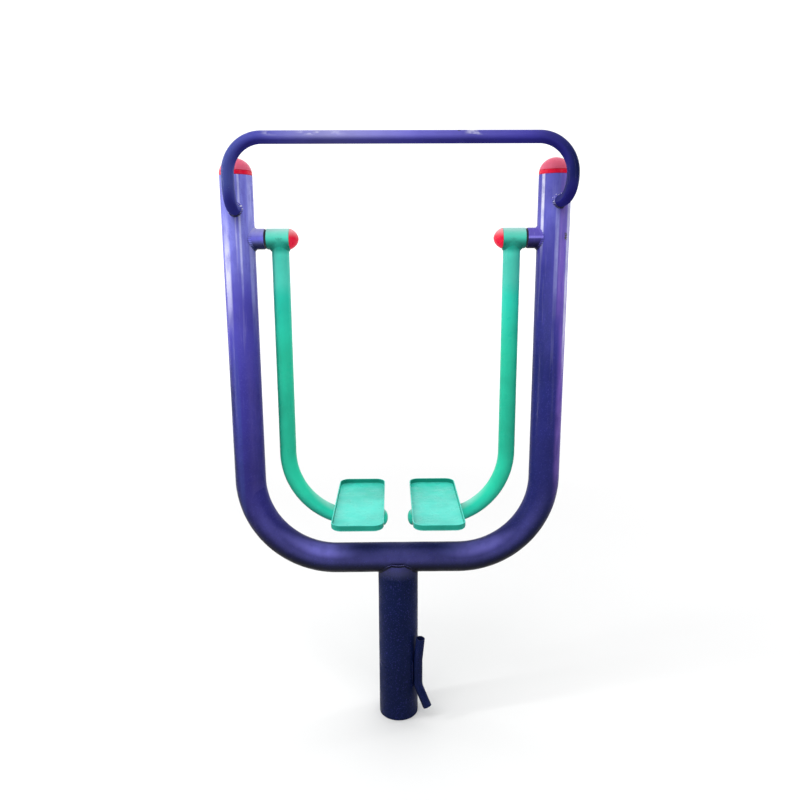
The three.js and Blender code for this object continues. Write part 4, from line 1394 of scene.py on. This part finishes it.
class AIRWALKER_OT_welds(bpy.types.Operator):
    """Lays the weld beads that join the tubes"""

    bl_idname = "airwalker.welds"
    bl_label = "Welds"

    def execute(self, context):
        settings = context.scene.air_walker
        sizes = settings.welds
        left_post = RoundTube(RIGHT * -POST_PLACE, UP, FRAME_RADIUS)
        right_post = RoundTube(RIGHT * POST_PLACE, UP, FRAME_RADIUS)
        stub_bead = joint_bead(
            "right_stub_bead", AXLE + RIGHT * STUB_END, RIGHT, HUB_RADIUS, sizes.frame_bead, right_post,
            RIPPLES["stub"],
        )
        dress_both(stub_bead, "stub_bead", FIXED, "frame_paint", violet_paint(settings))
        collar_start = Vector((ARM_PLACE, 0, AXLE_HEIGHT - 2 * HUB_RADIUS))
        hub = RoundTube(AXLE, RIGHT, HUB_RADIUS)
        collar = joint_bead(
            "right_arm_bead", collar_start, UP, ARM_RADIUS, sizes.arm_bead, hub, RIPPLES["arm"],
        )
        for vertex in collar.data.vertices:
            vertex.co.x = max(vertex.co.x, hub_low.x)
        dress_both(collar, "arm_bead", SWINGING, "arm_paint", arm_paint(settings))
        rail = settings.handrail
        for side, hook, post in zip(("left", "right"), hooks(rail), (left_post, right_post)):
            start = hook.end - hook.heading * 2 * FRAME_RADIUS
            bead = joint_bead(
                f"{side}_rail_bead", start, hook.heading, rail.radius, sizes.rail_bead, post, RIPPLES["rail"],
            )
            dress(bead, FRAME_BODY, "frame_paint", weld_paint(settings))
        dress(self.head_bead(settings), FRAME_BODY, "frame_paint", weld_paint(settings))
        for bead in self.anchor_beads(settings):
            dress(bead, FRAME_BODY, "frame_paint", violet_paint(settings))
        return {"FINISHED"}

    def head_bead(self, settings):
        """The bead round the top of the ground post's head, where it meets the frame."""
        sizes = settings.frame
        bead = settings.welds.frame_bead
        shoulder = FRAME_UNDERSIDE - sizes.head_drop
        slope = (GROUND_POST_RADIUS - sizes.head_top_radius) / (GROUND_POST_TOP - shoulder)
        bottom = RoundTube(UP * FRAME_BOTTOM, RIGHT, FRAME_RADIUS)

        def lie(_spot, spoke):
            height = FRAME_UNDERSIDE
            for _round in range(HEAD_BEAD_ROUNDS):
                radius = GROUND_POST_RADIUS - slope * (height - shoulder)
                height = min(bottom.reach(spoke * radius, UP), GROUND_POST_TOP - bead / 2)
            fall = (bottom.reach(spoke * (radius + bead), UP) - height) / bead
            return radius - GROUND_POST_RADIUS, height - FRAME_UNDERSIDE, min(fall, 1)

        middle = UP * FRAME_UNDERSIDE
        return ring_bead("head_bead", middle, UP, GROUND_POST_RADIUS, bead, RIPPLES["head"], lie)

    def anchor_beads(self, settings):
        """The two upright beads that hold the anchor tube against the ground post."""
        sizes = settings.anchor
        radius = settings.welds.seam_bead
        tube_place = GROUND_POST_RADIUS + sizes.radius
        reach = GROUND_POST_RADIUS + radius
        cosine = (tube_place ** 2 + reach ** 2 - (sizes.radius + radius) ** 2) / (2 * tube_place * reach)
        for side, sign in (("left", -1), ("right", 1)):
            foot = Quaternion(UP, sizes.bearing + sign * math.acos(cosine)) @ RIGHT * (reach - radius / 2)
            low, high = foot + UP * sizes.straight_bottom, foot + UP * sizes.straight_top
            yield seam_bead(f"{side}_anchor_bead", low, high, radius, RIPPLES["anchor"])


# Each metal's slot, with its material's name, colour, roughness and brushing, and its pieces
HIDDEN_METALS = (
    (
        "zinc_steel", ("plated_axle", (0.6, 0.62, 0.65), 0.4, 240),
        ("stub_disc", "axle", "spacer_sleeve", "axle_washer", "axle_nut"),
    ),
    (
        "bearing_steel", ("ground_bearing", (0.72, 0.73, 0.75), 0.2, 520),
        (
            "outboard_bearing_inner_ring", "inboard_bearing_inner_ring", "outboard_bearing_outer_ring",
            "inboard_bearing_outer_ring", "outboard_ball_cage", "inboard_ball_cage",
        ),
    ),
)


class AIRWALKER_OT_hidden_metals(bpy.types.Operator):
    """Gives the axles, bearings and fasteners inside the hubs their metals"""

    bl_idname = "airwalker.hidden_metals"
    bl_label = "Axles and bearings"

    def execute(self, context):
        for slot, recipe, pieces in HIDDEN_METALS:
            metal = steel(*recipe)
            for side in ("right", "left"):
                for name in pieces:
                    node = frame["nodes"][f"{side}_{name}"]
                    node.data.materials.clear()
                    node.data.materials.append(metal)
        return {"FINISHED"}


# Each strip light: its name, place, width, height and share of the strips' power
STRIPS = (
    ("left_strip", Vector((-2.5, -0.62, 1.75)), 0.16, 1.5, 1.0),
    ("front_strip", Vector((2.0, -2.8, 1.75)), 0.08, 1.5, 0.5),
    ("left_rim", Vector((-2.9, 1.5, 2.0)), 0.35, 1.6, 0.35),
    ("right_rim", Vector((2.9, 1.3, 2.0)), 0.35, 1.6, 0.6),
)
# The light overhead: its name, place, target, width and height
TOP_LIGHT = ("top_light", Vector((-0.7, -2.1, 3.6)), UP * (POST_TOP / 2), 3.4, 2.2)

# Where the surroundings are brightest, and between which of its sides they brighten
BRIGHT_SIDE = Vector((-0.4, 1, 0.75)).normalized()
BRIGHT_SPAN = (-0.45, 0.5)

# The floor's colours near the object and far from it, the distances between which it fades, and how much the
# far floor glows
NEAR_FLOOR = ((0.79, 0.79, 0.79), (0.8, 0.8, 0.8))
FAR_FLOOR = (0.9, 0.9, 0.9)
FLOOR_FADE = (1.2, 6.0)
FLOOR_GLOW = 0.3

# The camera's film width in millimetres
FILM_WIDTH = 36


class AIRWALKER_OT_stage(bpy.types.Operator):
    """Sets the floor, the lights and the camera"""

    bl_idname = "airwalker.stage"
    bl_label = "Stage"

    def execute(self, context):
        settings = context.scene.air_walker.stage
        self.floor(settings)
        self.surroundings(context.scene, settings)
        self.light(*TOP_LIGHT, settings.top_power)
        for name, place, width, height, share in STRIPS:
            self.light(name, place, UP * place.z, width, height, settings.strip_power * share)
        self.camera(context, settings)
        return {"FINISHED"}

    def floor(self, settings):
        """A plain pale floor that runs out of sight."""
        bpy.ops.mesh.primitive_circle_add(
            vertices=WIDE_SIDES, radius=settings.floor_radius, fill_type="NGON",
        )
        floor = named("floor")
        shades = Shades("pale_floor")
        far = shades.ramp(shades.vector("LENGTH", shades.place, output="Value"), *FLOOR_FADE)
        tint = shades.mix(shades.clouds(0.8, 0.3, 0.7, detail=2), *NEAR_FLOOR)
        shades.give("Base Color", shades.mix(far, tint, FAR_FLOOR))
        shades.give("Roughness", 0.85)
        shades.give("Emission Color", (1, 1, 1, 1))
        shades.give("Emission Strength", shades.times(far, FLOOR_GLOW))
        floor.data.materials.append(shades.material)

    def surroundings(self, scene, settings):
        """A pale studio all round, dim at the front on the right, so that dark paint stays deep."""
        world = bpy.data.worlds.new("studio")
        world.use_nodes = True
        nodes, link = world.node_tree.nodes, world.node_tree.links.new
        background = nodes["Background"]
        towards = nodes.new("ShaderNodeVectorMath")
        towards.operation = "DOT_PRODUCT"
        towards.inputs[1].default_value = BRIGHT_SIDE
        link(nodes.new("ShaderNodeTexCoord").outputs["Generated"], towards.inputs[0])
        spread = nodes.new("ShaderNodeMapRange")
        spread.interpolation_type = "SMOOTHSTEP"
        for socket, value in zip(spread.inputs[1:5], (*BRIGHT_SPAN, settings.dim_side, settings.sky)):
            socket.default_value = value
        link(towards.outputs["Value"], spread.inputs["Value"])
        seen = nodes.new("ShaderNodeMix")
        link(nodes.new("ShaderNodeLightPath").outputs["Is Camera Ray"], seen.inputs["Factor"])
        link(spread.outputs["Result"], seen.inputs[2])
        seen.inputs[3].default_value = settings.sky
        link(seen.outputs["Result"], background.inputs["Strength"])
        background.inputs["Color"].default_value = (1, 1, 1, 1)
        scene.world = world
        scene.view_settings.view_transform = "Standard"

    def light(self, name, place, target, width, height, power):
        """One rectangular light that points at a place."""
        bpy.ops.object.light_add(type="AREA", location=place)
        light = bpy.context.active_object
        light.name = name
        light.data.shape = "RECTANGLE"
        light.data.size = width
        light.data.size_y = height
        light.data.energy = power
        light.rotation_euler = (target - place).to_track_quat("-Z", "Y").to_euler()

    def camera(self, context, settings):
        """The camera, at the height and angle that show the pedals from above."""
        turn = Matrix.Rotation(-settings.camera_yaw, 4, "Z")
        tilt = Matrix.Rotation(QUARTER_TURN - settings.camera_pitch, 4, "X")
        roll = Matrix.Rotation(settings.camera_roll, 4, "Z")
        bpy.ops.object.camera_add()
        camera = context.active_object
        camera.matrix_world = Matrix.Translation(settings.camera_place) @ turn @ tilt @ roll
        camera.data.lens = settings.lens
        camera.data.sensor_width = FILM_WIDTH
        context.scene.camera = camera


OPERATORS = (
    AIRWALKER_OT_frame_tube, AIRWALKER_OT_ground_post, AIRWALKER_OT_anchor_tube, AIRWALKER_OT_handrail,
    AIRWALKER_OT_post_caps, AIRWALKER_OT_axle_stubs, AIRWALKER_OT_hubs, AIRWALKER_OT_dust_seals,
    AIRWALKER_OT_hub_caps, AIRWALKER_OT_arm_tubes, AIRWALKER_OT_pedal_saddles, AIRWALKER_OT_pedals,
    AIRWALKER_OT_welds, AIRWALKER_OT_hidden_metals, AIRWALKER_OT_stage,
)


def own_settings(group):
    """The names of the settings that a group declares itself."""
    return [name for name in group.bl_rna.properties.keys() if name not in ("rna_type", "name")]


class AIRWALKER_PT_panel(bpy.types.Panel):
    """Lists the air walker's operators and settings in the sidebar"""

    bl_idname = "AIRWALKER_PT_panel"
    bl_label = "Outdoor air walker"
    bl_space_type = "VIEW_3D"
    bl_region_type = "UI"
    bl_category = "Air walker"

    def draw(self, context):
        layout = self.layout
        for operator in OPERATORS:
            layout.operator(operator.bl_idname)
        settings = context.scene.air_walker
        for name in own_settings(settings):
            group = getattr(settings, name)
            box = layout.box()
            box.label(text=settings.bl_rna.properties[name].name)
            for setting in own_settings(group):
                box.prop(group, setting)


CLASSES = (
    FrameSettings, HandrailSettings, AnchorSettings, ArmSettings, WeldSettings, FinishSettings, StageSettings,
    AirWalkerSettings, *OPERATORS, AIRWALKER_PT_panel,
)


def register():
    """Registers the settings, the operators and the panel."""
    for each in CLASSES:
        bpy.utils.register_class(each)
    bpy.types.Scene.air_walker = PointerProperty(type=AirWalkerSettings)


def unregister():
    """Takes the settings, the operators and the panel out again."""
    del bpy.types.Scene.air_walker
    for each in reversed(CLASSES):
        bpy.utils.unregister_class(each)


def main():
    """Registers the settings, the operators and the panel, and builds every piece in order."""
    register()
    for operator in OPERATORS:
        category, name = operator.bl_idname.split(".")
        if getattr(getattr(bpy.ops, category), name)() != {"FINISHED"}:
            raise RuntimeError(f"{operator.bl_label} did not finish")


if __name__ == "__main__":
    main()
